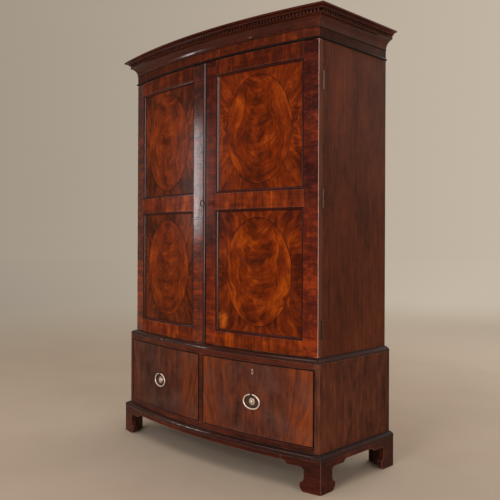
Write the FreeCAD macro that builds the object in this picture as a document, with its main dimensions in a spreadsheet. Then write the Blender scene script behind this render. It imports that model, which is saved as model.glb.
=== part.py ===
import FreeCAD, Part
import os
import re
import Sketcher

# Driving sizes of the press in millimetres; a name that ends in count is a plain number.
SIZES = (
    # Plan of the two stages
    ("upper_half_width", 600),
    ("upper_depth", 473),
    ("bow_rise", 62),
    ("base_step", 24),
    ("plinth_step", 22.5),
    ("cornice_step", 57),
    # Heights from the floor up
    ("plinth_height", 130),
    ("plinth_moulding_height", 19),
    ("base_height", 354),
    ("waist_height", 19),
    ("door_zone_height", 1266),
    ("astragal_height", 11),
    ("frieze_plain_height", 36),
    ("cove_height", 45),
    ("dentil_height", 13),
    ("crown_height", 17),
    # Boolean overrun and the start of the mitre line behind the carcase corner
    ("cut_overrun", 5),
    ("mitre_reach", 60),
    # Upper carcase boards
    ("side_thickness", 18),
    ("board_thickness", 18),
    ("back_thickness", 12),
    ("back_board_gap", 0.6),
    ("upper_back_count", 5),
    ("base_back_count", 4),
    # Cornice frame and its mouldings
    ("frieze_thickness", 20),
    ("cornice_rail_thickness", 18),
    ("dust_board_thickness", 8),
    ("cove_bead_proud", 3),
    ("cove_bead_height", 3.5),
    ("cove_toe", 1.5),
    ("cove_head", 33),
    ("cove_fillet", 2.6),
    ("cove_radius", 40),
    ("dentil_back", 26),
    ("dentil_root", 2),
    ("dentil_face", 34),
    ("dentil_width", 9),
    ("dentil_pitch", 16),
    ("dentil_front_count", 79),
    ("dentil_side_count", 31),
    ("crown_toe", 38),
    ("crown_fillet", 5),
    ("crown_fillet_height", 7),
    ("crown_radius", 13),
    # Waist moulding between the stages
    ("waist_fillet", 4),
    ("waist_top_width", 6),
    ("waist_quirk", 2),
    ("waist_radius", 19),
    # Doors
    ("door_thickness", 23),
    ("door_gap", 1),
    ("door_margin", 1.5),
    ("meeting_gap", 2),
    ("hinge_stile_width", 67),
    ("meeting_stile_width", 65),
    ("meeting_bead_width", 16),
    ("meeting_bead_sunk", 2),
    ("meeting_bead_radius", 9),
    ("top_rail_width", 63),
    ("lock_rail_width", 70),
    ("lock_rail_lift", 5),
    ("bottom_rail_width", 61),
    ("panel_recess", 9),
    ("panel_thickness", 8),
    ("panel_tongue", 6),
    ("veneer_thickness", 1),
    ("oval_side_margin", 51.5),
    ("oval_end_margin", 33.75),
    ("moulding_width", 13),
    ("moulding_rise", 8),
    ("moulding_land", 3.5),
    ("moulding_lip", 1.5),
    ("moulding_tuck", 4),
    ("moulding_radius", 10),
    # Butt hinges
    ("hinge_length", 76),
    ("hinge_low_rise", 110),
    ("hinge_middle_drop", 4),
    ("hinge_high_drop", 163),
    ("knuckle_radius", 3.5),
    ("knuckle_reach", 4.2),
    ("knuckle_gap", 0.4),
    ("knuckle_relief", 0.35),
    ("hinge_pin_radius", 1.5),
    ("hinge_pin_clearance", 0.05),
    ("leaf_thickness", 1.5),
    ("leaf_width", 15),
    # Door lock, key and keeper
    ("key_inset", 14),
    ("key_drop", 7),
    ("lock_start", 4),
    ("lock_width", 58),
    ("lock_below_key", 16),
    ("lock_above_key", 34),
    ("lock_thickness", 13),
    ("lock_let_in", 2),
    ("lock_plate", 4),
    ("ward_radius", 8),
    ("ward_depth", 7),
    ("bolt_low", 9.5),
    ("bolt_height", 14),
    ("bolt_thickness", 5),
    ("bolt_length", 30),
    ("bolt_rest_inset", 2.5),
    ("bolt_throw", 8),
    ("bolt_clearance", 0.4),
    ("keeper_width", 20),
    ("keeper_wall", 3),
    ("keeper_let_in", 1),
    ("shank_radius", 2.5),
    ("shank_clearance", 0.4),
    ("key_reach", 25),
    ("key_bow_half_height", 13),
    ("key_bow_half_width", 9),
    ("key_bow_half_rim", 1.9),
    ("key_bit_length", 6.5),
    ("key_bit_thickness", 2),
    ("key_bit_width", 5),
    ("key_end_gap", 1),
    # Escutcheons
    ("escutcheon_half_width", 5.5),
    ("escutcheon_half_height", 11.5),
    ("escutcheon_thickness", 1.5),
    ("keyhole_radius", 2.4),
    ("keyhole_slot_width", 2.4),
    ("keyhole_drop", 6.5),
    ("keyhole_depth", 12),
    # Linen trays and their bearers
    ("tray_count", 4),
    ("tray_setback", 60),
    ("tray_side_gap", 2.3),
    ("tray_rear_gap", 10),
    ("tray_first_rise", 70),
    ("tray_height", 85),
    ("tray_front_height", 50),
    ("tray_wall", 10),
    ("tray_floor", 8),
    ("bearer_width", 18),
    ("bearer_height", 20),
    ("bearer_setback", 40),
    ("slide_clearance", 0.3),
    # Base carcase
    ("base_side_thickness", 22),
    ("base_bottom_thickness", 22),
    ("base_rail_height", 24),
    ("base_rail_depth", 60),
    ("partition_width", 24),
    # Drawers
    ("drawer_clearance", 1.5),
    ("drawer_front_thickness", 22),
    ("cock_bead_width", 3.2),
    ("cock_bead_proud", 2),
    ("cock_bead_depth", 12),
    ("drawer_wall", 12),
    ("drawer_wall_inset", 1.5),
    ("drawer_wall_drop", 43),
    ("drawer_rear_gap", 20),
    ("drawer_floor", 8),
    ("drawer_floor_rise", 10),
    ("drawer_key_drop", 38.5),
    # Ring pulls
    ("handle_drop", 11),
    ("plate_half_width", 38.5),
    ("plate_half_height", 26.5),
    ("plate_thickness", 2),
    ("boss_foot_radius", 15),
    ("boss_neck_radius", 10),
    ("boss_height", 4),
    ("boss_bead_radius", 8),
    ("rosette_radius", 2.6),
    ("rosette_ring", 11.5),
    ("rosette_count", 10),
    ("ring_half_width", 42),
    ("ring_half_height", 30),
    ("ring_wire", 3),
    ("ring_standoff", 6.6),
    ("eye_radius", 5.5),
    ("eye_length", 8),
    ("eye_clearance", 0.45),
    ("eye_neck_height", 9),
    # Plinth boards, bracket feet and glue blocks
    ("plinth_board_setback", 1),
    ("plinth_board", 20),
    ("plinth_moulding_back", 4),
    ("plinth_round_height", 10),
    ("plinth_round_width", 13.5),
    ("plinth_round_radius", 14.5),
    ("plinth_quirk", 2),
    ("apron_height", 20),
    ("foot_toe", 68),
    ("foot_bulb", 90),
    ("foot_bulb_rise", 38),
    ("foot_bulb_radius", 27),
    ("foot_neck", 74),
    ("foot_neck_low", 60),
    ("foot_neck_radius", 20),
    ("foot_neck_high", 84),
    ("foot_spur_near", 88),
    ("foot_spur_rise", 97),
    ("foot_spur_radius", 14),
    ("foot_spur_far", 148),
    ("foot_span", 180),
    ("foot_cusp_radius", 30),
    ("rear_brace_width", 95),
    ("glue_block_width", 42),
    ("glue_block_lift", 6),
)

# Positions that follow from the driving sizes.
POSITIONS = (
    ("bow_radius", "(upper_half_width^2 + bow_rise^2) / (2 * bow_rise)"),
    ("half_depth", "(upper_depth + bow_rise + cornice_step) / 2"),
    ("corner_y", "half_depth - upper_depth"),
    ("door_front_y", "corner_y - bow_rise"),
    ("door_rear_y", "door_front_y + door_thickness"),
    ("bow_y", "door_front_y + bow_radius"),
    ("inner_half_width", "upper_half_width - side_thickness"),
    ("base_half_width", "upper_half_width + base_step"),
    ("opening_x", "base_half_width - base_side_thickness"),
    ("base_bottom_z", "plinth_height + plinth_moulding_height"),
    ("base_top_z", "base_bottom_z + base_height"),
    ("upper_bottom_z", "base_top_z + waist_height"),
    ("upper_top_z", "upper_bottom_z + door_zone_height"),
    ("frieze_z", "upper_top_z + astragal_height"),
    ("cove_z", "frieze_z + frieze_plain_height"),
    ("dentil_z", "cove_z + cove_height"),
    ("crown_z", "dentil_z + dentil_height"),
    ("overall_height", "crown_z + crown_height"),
    ("mitre_x", "upper_half_width - mitre_reach"),
    ("mitre_y", "bow_y - sqrt((bow_radius - mitre_reach)^2 - mitre_x^2)"),
    ("mitre_end_x", "upper_half_width + cornice_step"),
    ("mitre_end_y", "bow_y - sqrt((bow_radius + cornice_step)^2 - mitre_end_x^2)"),
    ("mitre_angle", "atan2(mitre_end_y - mitre_y; mitre_end_x - mitre_x)"),
    ("sweep_angle", "4 * asin(mitre_end_x / bow_radius)"),
    ("inside_rear_y", "half_depth - back_thickness"),
    # Doors
    ("door_low_z", "upper_bottom_z + door_margin"),
    ("door_high_z", "upper_top_z - door_margin"),
    ("bottom_rail_z", "door_low_z + bottom_rail_width"),
    ("top_rail_z", "door_high_z - top_rail_width"),
    ("lock_rail_mid_z", "(bottom_rail_z + top_rail_z) / 2 + lock_rail_lift"),
    ("lock_rail_low_z", "lock_rail_mid_z - lock_rail_width / 2"),
    ("lock_rail_high_z", "lock_rail_mid_z + lock_rail_width / 2"),
    ("meeting_x", "meeting_gap / 2"),
    ("right_stile_x", "meeting_x + meeting_stile_width"),
    ("left_stile_x", "right_stile_x + meeting_bead_width"),
    ("hinge_stile_x", "upper_half_width - hinge_stile_width"),
    ("oval_half_width", "(hinge_stile_x - left_stile_x) / 2 - oval_side_margin"),
    ("oval_half_height", "(top_rail_z - lock_rail_high_z) / 2 - oval_end_margin"),
    # Hinge axis on the arc midway between door and carcase
    ("hinge_arc", "bow_radius - door_thickness - door_gap / 2"),
    ("hinge_x", "upper_half_width + knuckle_reach"),
    ("hinge_y", "bow_y - sqrt(hinge_arc^2 - hinge_x^2)"),
    ("hinge_turn", "2 * asin(1) + asin(hinge_x / hinge_arc)"),
    ("leaf_start", "knuckle_radius + knuckle_relief"),
    ("leaf_end", "knuckle_reach + leaf_width"),
    ("knuckle_pitch", "hinge_length / 5"),
    # Lock
    ("key_z", "lock_rail_mid_z - key_drop"),
    ("lock_front_y", "door_rear_y - lock_let_in"),
    ("lock_rear_y", "lock_front_y + lock_thickness"),
    ("bolt_front_y", "lock_front_y + lock_plate"),
    ("bolt_rear_y", "bolt_front_y + bolt_thickness"),
    ("bolt_low_z", "key_z + bolt_low"),
    ("bolt_high_z", "bolt_low_z + bolt_height"),
    ("bolt_x", "meeting_x + bolt_rest_inset"),
    ("key_tip_y", "lock_front_y + lock_plate + ward_depth - key_end_gap"),
    ("key_bow_y", "door_front_y - key_reach - key_bow_half_width"),
    # Trays, spread evenly over the inside height
    ("tray_pitch", "(door_zone_height - 2 * board_thickness - tray_first_rise) / tray_count"),
    ("tray_half_width", "inner_half_width - tray_side_gap"),
    ("tray_front_y", "corner_y + tray_setback"),
    ("tray_rear_y", "inside_rear_y - tray_rear_gap"),
    # Drawers and their openings
    ("opening_low_z", "base_bottom_z + base_bottom_thickness"),
    ("opening_high_z", "base_top_z - base_rail_height"),
    ("drawer_near_x", "partition_width / 2 + drawer_clearance"),
    ("drawer_far_x", "opening_x - drawer_clearance"),
    ("drawer_low_z", "opening_low_z + drawer_clearance"),
    ("drawer_high_z", "opening_high_z - drawer_clearance"),
    ("drawer_wall_near_x", "drawer_near_x + drawer_wall_inset"),
    ("drawer_wall_far_x", "drawer_far_x - drawer_wall_inset"),
    ("drawer_rear_y", "inside_rear_y - drawer_rear_gap"),
    ("drawer_floor_z", "drawer_low_z + drawer_floor_rise"),
    ("handle_x", "(drawer_near_x + drawer_far_x) / 2"),
    ("handle_y", "bow_y - sqrt((bow_radius + base_step)^2 - handle_x^2)"),
    ("handle_lean", "asin(handle_x / (bow_radius + base_step))"),
    ("handle_z", "(drawer_low_z + drawer_high_z) / 2 - handle_drop"),
    ("drawer_key_z", "drawer_high_z - drawer_key_drop"),
    # Plinth
    ("plinth_offset", "base_step + plinth_step"),
    ("board_offset", "plinth_offset - plinth_board_setback"),
    ("board_inner", "board_offset - plinth_board"),
    ("foot_x", "upper_half_width + board_offset"),
    ("foot_y", "bow_y - sqrt((bow_radius + board_offset)^2 - foot_x^2)"),
    ("apron_z", "plinth_height - apron_height"),
)

X_AXIS = FreeCAD.Vector(1, 0, 0)
Y_AXIS = FreeCAD.Vector(0, 1, 0)
Z_AXIS = FreeCAD.Vector(0, 0, 1)
CYCLE_AXIS = FreeCAD.Vector(1, 1, 1)
CYCLE_BACK_AXIS = FreeCAD.Vector(1, -1, 1)

# Quarter and third turns that lay a shape along another axis.
UPRIGHT = FreeCAD.Rotation()
TIP_UP = FreeCAD.Rotation(X_AXIS, 90)
TIP_DOWN = FreeCAD.Rotation(X_AXIS, -90)
ALONG_X = FreeCAD.Rotation(Y_AXIS, 90)
ALONG_Y = FreeCAD.Rotation(X_AXIS, -90)
X_TO_Z = FreeCAD.Rotation(CYCLE_AXIS, -120)
X_TO_Z_BACK = FreeCAD.Rotation(CYCLE_BACK_AXIS, 120)
FACE_FRONT = FreeCAD.Rotation(Z_AXIS, -90)
FACE_LEFT = FreeCAD.Rotation(Z_AXIS, 180)
FACE_REAR = FreeCAD.Rotation(Z_AXIS, 90)

doc = FreeCAD.newDocument("linen_press")
dims = doc.addObject("Spreadsheet::Sheet", "dims")
calc = doc.addObject("Spreadsheet::Sheet", "calc")
HOME = {name: "dims." for name, value in SIZES}
HOME.update({name: "calc." for name, formula in POSITIONS})
WORD = re.compile(r"[a-z][a-z0-9_]*")


def full(text):
    """The expression with the sheet's name put before each size name."""
    return WORD.sub(lambda found: HOME.get(found.group(0), "") + found.group(0), text)


for row, (name, value) in enumerate(SIZES, start=1):
    dims.set("A%d" % row, name)
    dims.set("B%d" % row, str(value))
    dims.setAlias("B%d" % row, name)
for row, (name, formula) in enumerate(POSITIONS, start=1):
    calc.set("A%d" % row, name)
    calc.set("B%d" % row, "=" + full(formula))
    calc.setAlias("B%d" % row, name)
doc.recompute()

ARC_PARTS = 4
NODES = {}
BOWS = {}
LAYERS = {}


def number(text):
    """The present value of an expression, as a plain number."""
    found = calc.evalExpression(full(text))
    return float(getattr(found, "Value", found))


def bind(item, **properties):
    """Drive properties of a document object from the sheets."""
    for name, text in properties.items():
        item.setExpression(name, full(text))
    return item


def put(item, x="0", y="0", z="0", rotation=UPRIGHT):
    """Place an object at a driven point, with a fixed rotation."""
    item.Placement = FreeCAD.Placement(FreeCAD.Vector(), rotation)
    for letter, text in (("x", x), ("y", y), ("z", z)):
        item.setExpression("Placement.Base." + letter, full(text))
    return item


def span(name, x, y, z):
    """A box between two driven values along each axis."""
    item = doc.addObject("Part::Box", name)
    for size, (low, high) in (("Length", x), ("Width", y), ("Height", z)):
        item.setExpression(size, full("(%s) - (%s)" % (high, low)))
    return put(item, x[0], y[0], z[0])


def rod(name, radius, length, x, y, z, rotation=UPRIGHT):
    """A cylinder from a driven point, along the axis that the rotation gives."""
    item = doc.addObject("Part::Cylinder", name)
    bind(item, Radius=radius, Height=length)
    return put(item, x, y, z, rotation)


def bow(offset):
    """All that lies behind the bowed face at a distance outside the door face."""
    if offset not in BOWS:
        name = "bow_%d" % len(BOWS)
        length = "overall_height + 2 * cut_overrun"
        BOWS[offset] = rod(name, "bow_radius + (%s)" % offset, length, "0", "bow_y", "-cut_overrun")
    return BOWS[offset]


def layer(outer, inner):
    """The bowed layer between two distances outside the door face."""
    if (outer, inner) not in LAYERS:
        LAYERS[outer, inner] = cut("layer_%d" % len(LAYERS), bow(outer), bow(inner))
    return LAYERS[outer, inner]


def cut(name, base, *tools):
    """The base with each tool taken away."""
    for place, tool in enumerate(tools, start=1):
        item = doc.addObject("Part::Cut", name if place == len(tools) else name + "_step")
        item.Base = base
        item.Tool = tool
        base = item
    return base


def meet(name, first, second):
    """What two shapes have in common."""
    item = doc.addObject("Part::Common", name)
    item.Base = first
    item.Tool = second
    return item


def join(name, *shapes):
    """One solid made of touching shapes."""
    item = doc.addObject("Part::MultiFuse", name)
    item.Shapes = list(shapes)
    return item


def group(name, *shapes):
    """Separate solids that belong to one node."""
    item = doc.addObject("Part::Compound", name)
    item.Links = list(shapes)
    return item


def flip(name, source):
    """The same piece on the other side of the middle plane."""
    item = doc.addObject("Part::Mirroring", name)
    item.Source = source
    item.Base = FreeCAD.Vector()
    item.Normal = X_AXIS
    return item


def stand(name, source, x, y, z, angle):
    """A copy of a piece set at a driven point and turned about the vertical."""
    item = put(group(name, source), x, y, z, FreeCAD.Rotation(Z_AXIS, 1))
    return bind(item, **{"Placement.Rotation.Angle": angle})


def node(label, item):
    """Name a finished piece for export."""
    item.Label = label
    NODES[label] = item
    return item


def origin_feature(body, role):
    """A plane or axis of the body's own origin."""
    return [feature for feature in body.Origin.OriginFeatures if feature.Role == role][0]


def arc_between(start, end, radius, turn):
    """The short arc between two points, with its centre to the left for turn 1."""
    chord = end - start
    reach = max(radius**2 - chord.Length**2 / 4, 0) ** 0.5
    across = FreeCAD.Vector(-chord.y, chord.x, 0).normalize()
    centre = (start + end) / 2 + across * reach * turn
    first, last = (start, end) if turn > 0 else (end, start)
    angles = [FreeCAD.Vector(point - centre) for point in (first, last)]
    turns = [X_AXIS.getAngle(spoke) * (1 if spoke.y >= 0 else -1) for spoke in angles]
    return Part.ArcOfCircle(Part.Circle(centre, Z_AXIS, radius), turns[0], turns[1])


def outline(body, name, role, corners, arcs):
    """A closed driven sketch; arcs gives radius and turn for the edge that leaves a corner."""
    sketch = body.newObject("Sketcher::SketchObject", name)
    sketch.AttachmentSupport = [(origin_feature(body, role), "")]
    sketch.MapMode = "FlatFace"
    points = [FreeCAD.Vector(number(x), number(y), 0) for x, y in corners]
    ends = []
    for place, start in enumerate(points):
        end = points[(place + 1) % len(points)]
        if place in arcs:
            radius, turn = arcs[place]
            sketch.addGeometry(arc_between(start, end, number(radius), turn))
            ends.append((1, 2) if turn > 0 else (2, 1))
        else:
            sketch.addGeometry(Part.LineSegment(start, end))
            ends.append((1, 2))
    for place in range(len(points)):
        after = (place + 1) % len(points)
        sketch.addConstraint(Sketcher.Constraint("Coincident", place, ends[place][1], after, ends[after][0]))
    for place, (x, y) in enumerate(corners):
        across = ("DistanceX", x, points[place].x, -2)
        upward = ("DistanceY", y, points[place].y, -1)
        for kind, text, value, axis in (across, upward):
            if text == "0":
                sketch.addConstraint(Sketcher.Constraint("PointOnObject", place, ends[place][0], axis))
                continue
            rule = sketch.addConstraint(Sketcher.Constraint(kind, -1, 1, place, ends[place][0], value))
            sketch.setExpression("Constraints[%d]" % rule, full(text))
    for place, (radius, turn) in arcs.items():
        rule = sketch.addConstraint(Sketcher.Constraint("Radius", place, number(radius)))
        sketch.setExpression("Constraints[%d]" % rule, full(radius))
    return sketch


def padded(name, role, corners, arcs, length):
    """A body padded from one closed outline."""
    body = doc.addObject("PartDesign::Body", name)
    pad = body.newObject("PartDesign::Pad", name + "_pad")
    pad.Profile = outline(body, name + "_outline", role, corners, arcs)
    pad.setExpression("Length", full(length))
    return body


def split_arcs(corners, arcs):
    """The same outline with each arc divided into equal shorter arcs of its circle."""
    points = []
    rounds = {}
    for place, start in enumerate(corners):
        points.append(start)
        if place not in arcs:
            continue
        radius, turn = arcs[place]
        rounds[len(points) - 1] = arcs[place]
        end = corners[(place + 1) % len(corners)]
        middle = ["((%s) + (%s)) / 2" % pair for pair in zip(start, end)]
        half = ["((%s) - (%s)) / 2" % pair for pair in zip(end, start)]
        spread = "asin(sqrt((%s)^2 + (%s)^2) / (%s))" % (half[0], half[1], radius)
        for step in range(1, ARC_PARTS):
            angle = "(%d / %d) * %s" % (2 * step - ARC_PARTS, ARC_PARTS, spread)
            along = "sin(%s) / sin(%s)" % (angle, spread)
            swell = "(%d) * (cos(%s) - cos(%s)) / sin(%s)" % (turn, angle, spread, spread)
            x = "%s + %s * %s + %s * %s" % (middle[0], half[0], along, half[1], swell)
            y = "%s + %s * %s - %s * %s" % (middle[1], half[1], along, half[0], swell)
            rounds[len(points)] = arcs[place]
            points.append((x, y))
    return points, rounds


def turned(name, corners, arcs):
    """A body swept about the bow axis, centred on the front; corners give radius and height."""
    corners, arcs = split_arcs(corners, arcs)
    body = doc.addObject("PartDesign::Body", name)
    sweep = body.newObject("PartDesign::Revolution", name + "_sweep")
    sweep.Profile = outline(body, name + "_outline", "XZ_Plane", corners, arcs)
    sweep.ReferenceAxis = (origin_feature(body, "Z_Axis"), [""])
    sweep.Midplane = True
    sweep.setExpression("Angle", full("sweep_angle"))
    return put(body, "0", "bow_y", "0", FACE_FRONT)


def oval_ring(name, half_width, half_height, wire):
    """A closed oval ring of round wire in the plane that faces front."""
    path = put(doc.addObject("Part::Ellipse", name + "_path"), rotation=TIP_UP)
    bind(path, MajorRadius=half_width, MinorRadius=half_height)
    end = put(doc.addObject("Part::Circle", name + "_end"), half_width)
    bind(end, Radius=wire)
    item = doc.addObject("Part::Sweep", name)
    item.Sections = [end]
    item.Spine = (path, ["Edge1"])
    item.Solid = True
    item.Frenet = True
    return item


def oval_block(name, half_width, half_height, x, y, z, length):
    """An oval prism that runs back from a driven point."""
    edge = doc.addObject("Part::Ellipse", name + "_edge")
    if number(half_width) > number(half_height):
        put(edge, x, y, z, TIP_UP)
        bind(edge, MajorRadius=half_width, MinorRadius=half_height)
    else:
        put(edge, x, y, z, X_TO_Z)
        bind(edge, MajorRadius=half_height, MinorRadius=half_width)
    item = doc.addObject("Part::Extrusion", name)
    item.Base = edge
    item.DirMode = "Custom"
    item.Dir = Y_AXIS
    item.Solid = True
    return bind(item, LengthFwd=length)


# Mitre spaces at the right front corner and their mirror images at the left.
def mitre_space(name, angle):
    """A tall block with one face on the mitre line."""
    item = doc.addObject("Part::Box", name)
    bind(item, Length="overall_height", Width="overall_height", Height="overall_height + 2 * cut_overrun")
    put(item, "mitre_x", "mitre_y", "-cut_overrun", FreeCAD.Rotation(Z_AXIS, 1))
    return bind(item, **{"Placement.Rotation.Angle": angle})


side_space = mitre_space("side_space", "mitre_angle")
front_space = mitre_space("front_space", "mitre_angle - asin(1)")
side_space_left = flip("side_space_left", side_space)


def moulding(label, corners, arcs):
    """A mitred moulding on front and sides; corners give distance outside the door face and height."""
    swept = turned(label + "_swept", [("bow_radius + (%s)" % out, z) for out, z in corners], arcs)
    front = cut(label + "_front", swept, side_space, side_space_left)
    sides = [("upper_half_width + (%s)" % out, z) for out, z in corners]
    straight = padded(label + "_straight", "XZ_Plane", sides, arcs, "2 * half_depth")
    put(straight, "0", "half_depth", "0")
    right = cut(label + "_right", straight, front_space)
    node(label, group(label + "_lengths", front, right, flip(label + "_left", right)))


def boards(label, half_width, low, high, count):
    """Upright back boards side by side with a shrinkage gap between them."""
    pitch = "(2 * (%s) + back_board_gap) / %s" % (half_width, count)
    pieces = []
    for place in range(int(number(count))):
        start = "%d * (%s) - (%s)" % (place, pitch, half_width)
        end = "%d * (%s) - (%s) - back_board_gap" % (place + 1, pitch, half_width)
        name = "%s_%d" % (label, place)
        pieces.append(span(name, (start, end), ("inside_rear_y", "half_depth"), (low, high)))
    node(label, group(label + "_set", *pieces))


# Butt hinge, drawn once about its pin: local X runs into the joint and local Y towards the door.
def hinge_leaf(name, leaf_y, own_places):
    """A leaf with its knuckles, bored for the pin."""
    pieces = [span(name + "_plate", ("leaf_start", "leaf_end"), leaf_y, ("0", "hinge_length"))]
    for place in own_places:
        low = "%d * knuckle_pitch + knuckle_gap / 2" % place
        high = "%d * knuckle_pitch - knuckle_gap / 2" % (place + 1)
        pieces.append(rod(name + "_knuckle", "knuckle_radius", "(%s) - (%s)" % (high, low), "0", "0", low))
        pieces.append(span(name + "_neck", ("0", "leaf_start"), leaf_y, (low, high)))
    bore = rod(
        name + "_bore",
        "hinge_pin_radius + hinge_pin_clearance",
        "hinge_length + 2 * cut_overrun",
        "0",
        "0",
        "-cut_overrun",
    )
    return cut(name, join(name + "_body", *pieces), bore)


door_side = ("door_gap / 2", "door_gap / 2 + leaf_thickness")
case_side = ("-door_gap / 2 - leaf_thickness", "-door_gap / 2")
door_leaf = hinge_leaf("door_leaf", door_side, (1, 3))
case_leaf = hinge_leaf("case_leaf", case_side, (0, 2, 4))
hinge_pin = rod("hinge_pin", "hinge_pin_radius", "hinge_length", "0", "0", "0")
door_seat = span("door_seat", ("0", "leaf_end"), ("-door_gap / 2", door_side[1]), ("0", "hinge_length"))
case_seat = span("case_seat", ("0", "leaf_end"), (case_side[0], "door_gap / 2"), ("0", "hinge_length"))
HINGE_HEIGHTS = (
    "upper_bottom_z + hinge_low_rise",
    "lock_rail_mid_z - hinge_middle_drop",
    "upper_top_z - hinge_high_drop",
)


def at_hinges(name, source):
    """The three copies of a hinge piece along the right door's outer edge."""
    copies = []
    for height in HINGE_HEIGHTS:
        low = height + " - hinge_length / 2"
        copies.append(stand(name + "_copy", source, "hinge_x", "hinge_y", low, "hinge_turn"))
    return group(name, *copies)


right_door_leaves = at_hinges("right_door_leaves", door_leaf)
right_case_leaves = at_hinges("right_case_leaves", case_leaf)
right_pins = at_hinges("right_pins", hinge_pin)
right_door_seats = at_hinges("right_door_seats", door_seat)
right_case_seats = at_hinges("right_case_seats", case_seat)
node("door_right_hinge_leaves", right_door_leaves)
node("door_left_hinge_leaves", flip("left_door_leaves", right_door_leaves))
left_case_leaves = flip("left_case_leaves", right_case_leaves)
node("carcase_hinge_leaves", group("case_leaves", right_case_leaves, left_case_leaves))
node("hinge_pins", group("pins", right_pins, flip("left_pins", right_pins)))

# Upper carcase
carcase_front = bow("-door_thickness - door_gap")
inside = ("-inner_half_width", "inner_half_width")
stage_z = ("upper_bottom_z", "upper_top_z")
side_x = ("inner_half_width", "upper_half_width")
side_blank = span("side_blank", side_x, ("door_front_y", "half_depth"), stage_z)
side_board = cut("side_board", meet("side_front", side_blank, carcase_front), right_case_seats)
node("upper_side_right", side_board)
node("upper_side_left", flip("side_board_left", side_board))
board_y = ("door_front_y", "inside_rear_y")
top_blank = span("top_blank", inside, board_y, ("upper_top_z - board_thickness", "upper_top_z"))
node("upper_top_board", meet("top_board", top_blank, carcase_front))
floor_blank = span("floor_blank", inside, board_y, ("upper_bottom_z", "upper_bottom_z + board_thickness"))
node("upper_bottom_board", meet("bottom_board", floor_blank, carcase_front))
boards("upper_back_boards", "inner_half_width", "upper_bottom_z", "upper_top_z", "upper_back_count")

# Linen trays on their bearers
bearers = []
for place in range(int(number("tray_count"))):
    low = "upper_bottom_z + board_thickness + tray_first_rise + %d * tray_pitch" % place
    bearer = span(
        "bearer",
        ("inner_half_width - bearer_width", "inner_half_width"),
        ("corner_y + bearer_setback", "tray_rear_y"),
        ("%s - slide_clearance - bearer_height" % low, "%s - slide_clearance" % low),
    )
    bearers.append(bearer)
    bearers.append(flip("bearer_left", bearer))
    wall = span(
        "tray_wall_right",
        ("tray_half_width - tray_wall", "tray_half_width"),
        ("tray_front_y", "tray_rear_y"),
        (low, low + " + tray_height"),
    )
    between = ("tray_wall - tray_half_width", "tray_half_width - tray_wall")
    front = span(
        "tray_front",
        between,
        ("tray_front_y", "tray_front_y + tray_wall"),
        (low, low + " + tray_front_height"),
    )
    tray_back_y = ("tray_rear_y - tray_wall", "tray_rear_y")
    back = span("tray_back", between, tray_back_y, (low, low + " + tray_height"))
    floor = span(
        "tray_bottom",
        between,
        ("tray_front_y + tray_wall", "tray_rear_y - tray_wall"),
        (low, low + " + tray_floor"),
    )
    tray = group("tray", wall, flip("tray_wall_left", wall), front, back, floor)
    node("linen_tray_%d" % (place + 1), tray)
node("tray_bearers", group("bearer_set", *bearers))

# Cornice frame, mouldings and dust board
cornice_z = ("upper_top_z", "crown_z")
stage_x = ("-upper_half_width", "upper_half_width")
frieze_blank = span("frieze_blank", stage_x, ("-half_depth", "0"), cornice_z)
frieze_front = meet("frieze_front", frieze_blank, layer("0", "-frieze_thickness"))
frieze_side_x = ("upper_half_width - frieze_thickness", "upper_half_width")
frieze_side = span("frieze_side_blank", frieze_side_x, ("door_front_y", "half_depth"), cornice_z)
frieze_right = meet("frieze_right", frieze_side, bow("-frieze_thickness"))
frieze_rail = span(
    "frieze_rail",
    ("frieze_thickness - upper_half_width", "upper_half_width - frieze_thickness"),
    ("half_depth - cornice_rail_thickness", "half_depth"),
    cornice_z,
)
frieze_left = flip("frieze_left", frieze_right)
node("cornice_frieze", group("frieze", frieze_front, frieze_right, frieze_left, frieze_rail))
dust_blank = span(
    "dust_blank",
    stage_x,
    ("door_front_y", "half_depth"),
    ("crown_z", "crown_z + dust_board_thickness"),
)
node("cornice_dust_board", meet("dust_board", dust_blank, bow("0")))
astragal_round = ("astragal_height / 2", 1)
moulding(
    "cornice_astragal",
    [("0", "upper_top_z"), ("astragal_height / 2", "upper_top_z + astragal_height / 2"), ("0", "frieze_z")],
    {0: astragal_round, 1: astragal_round},
)
moulding(
    "cornice_cove",
    [
        ("0", "cove_z"),
        ("cove_bead_proud", "cove_z"),
        ("cove_bead_proud", "cove_z + cove_bead_height"),
        ("cove_toe", "cove_z + cove_bead_height"),
        ("cove_head", "dentil_z - cove_fillet"),
        ("cove_head", "dentil_z"),
        ("0", "dentil_z"),
    ],
    {3: ("cove_radius", -1)},
)
moulding(
    "cornice_crown",
    [
        ("0", "crown_z"),
        ("crown_toe", "crown_z"),
        ("cornice_step - crown_fillet", "overall_height - crown_fillet_height"),
        ("cornice_step", "overall_height - crown_fillet_height"),
        ("cornice_step", "overall_height"),
        ("0", "overall_height"),
    ],
    {1: ("crown_radius", -1)},
)


def tooth_outline(base):
    """One dentil in section, rooted in its backing strip."""
    root = base + " + dentil_back - dentil_root"
    face = base + " + dentil_face"
    return [(root, "dentil_z"), (face, "dentil_z"), (face, "crown_z"), (root, "crown_z")]


def strip_outline(base):
    """The backing strip of the dentils in section."""
    back = base + " + dentil_back"
    return [(base, "dentil_z"), (back, "dentil_z"), (back, "crown_z"), (base, "crown_z")]


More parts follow.
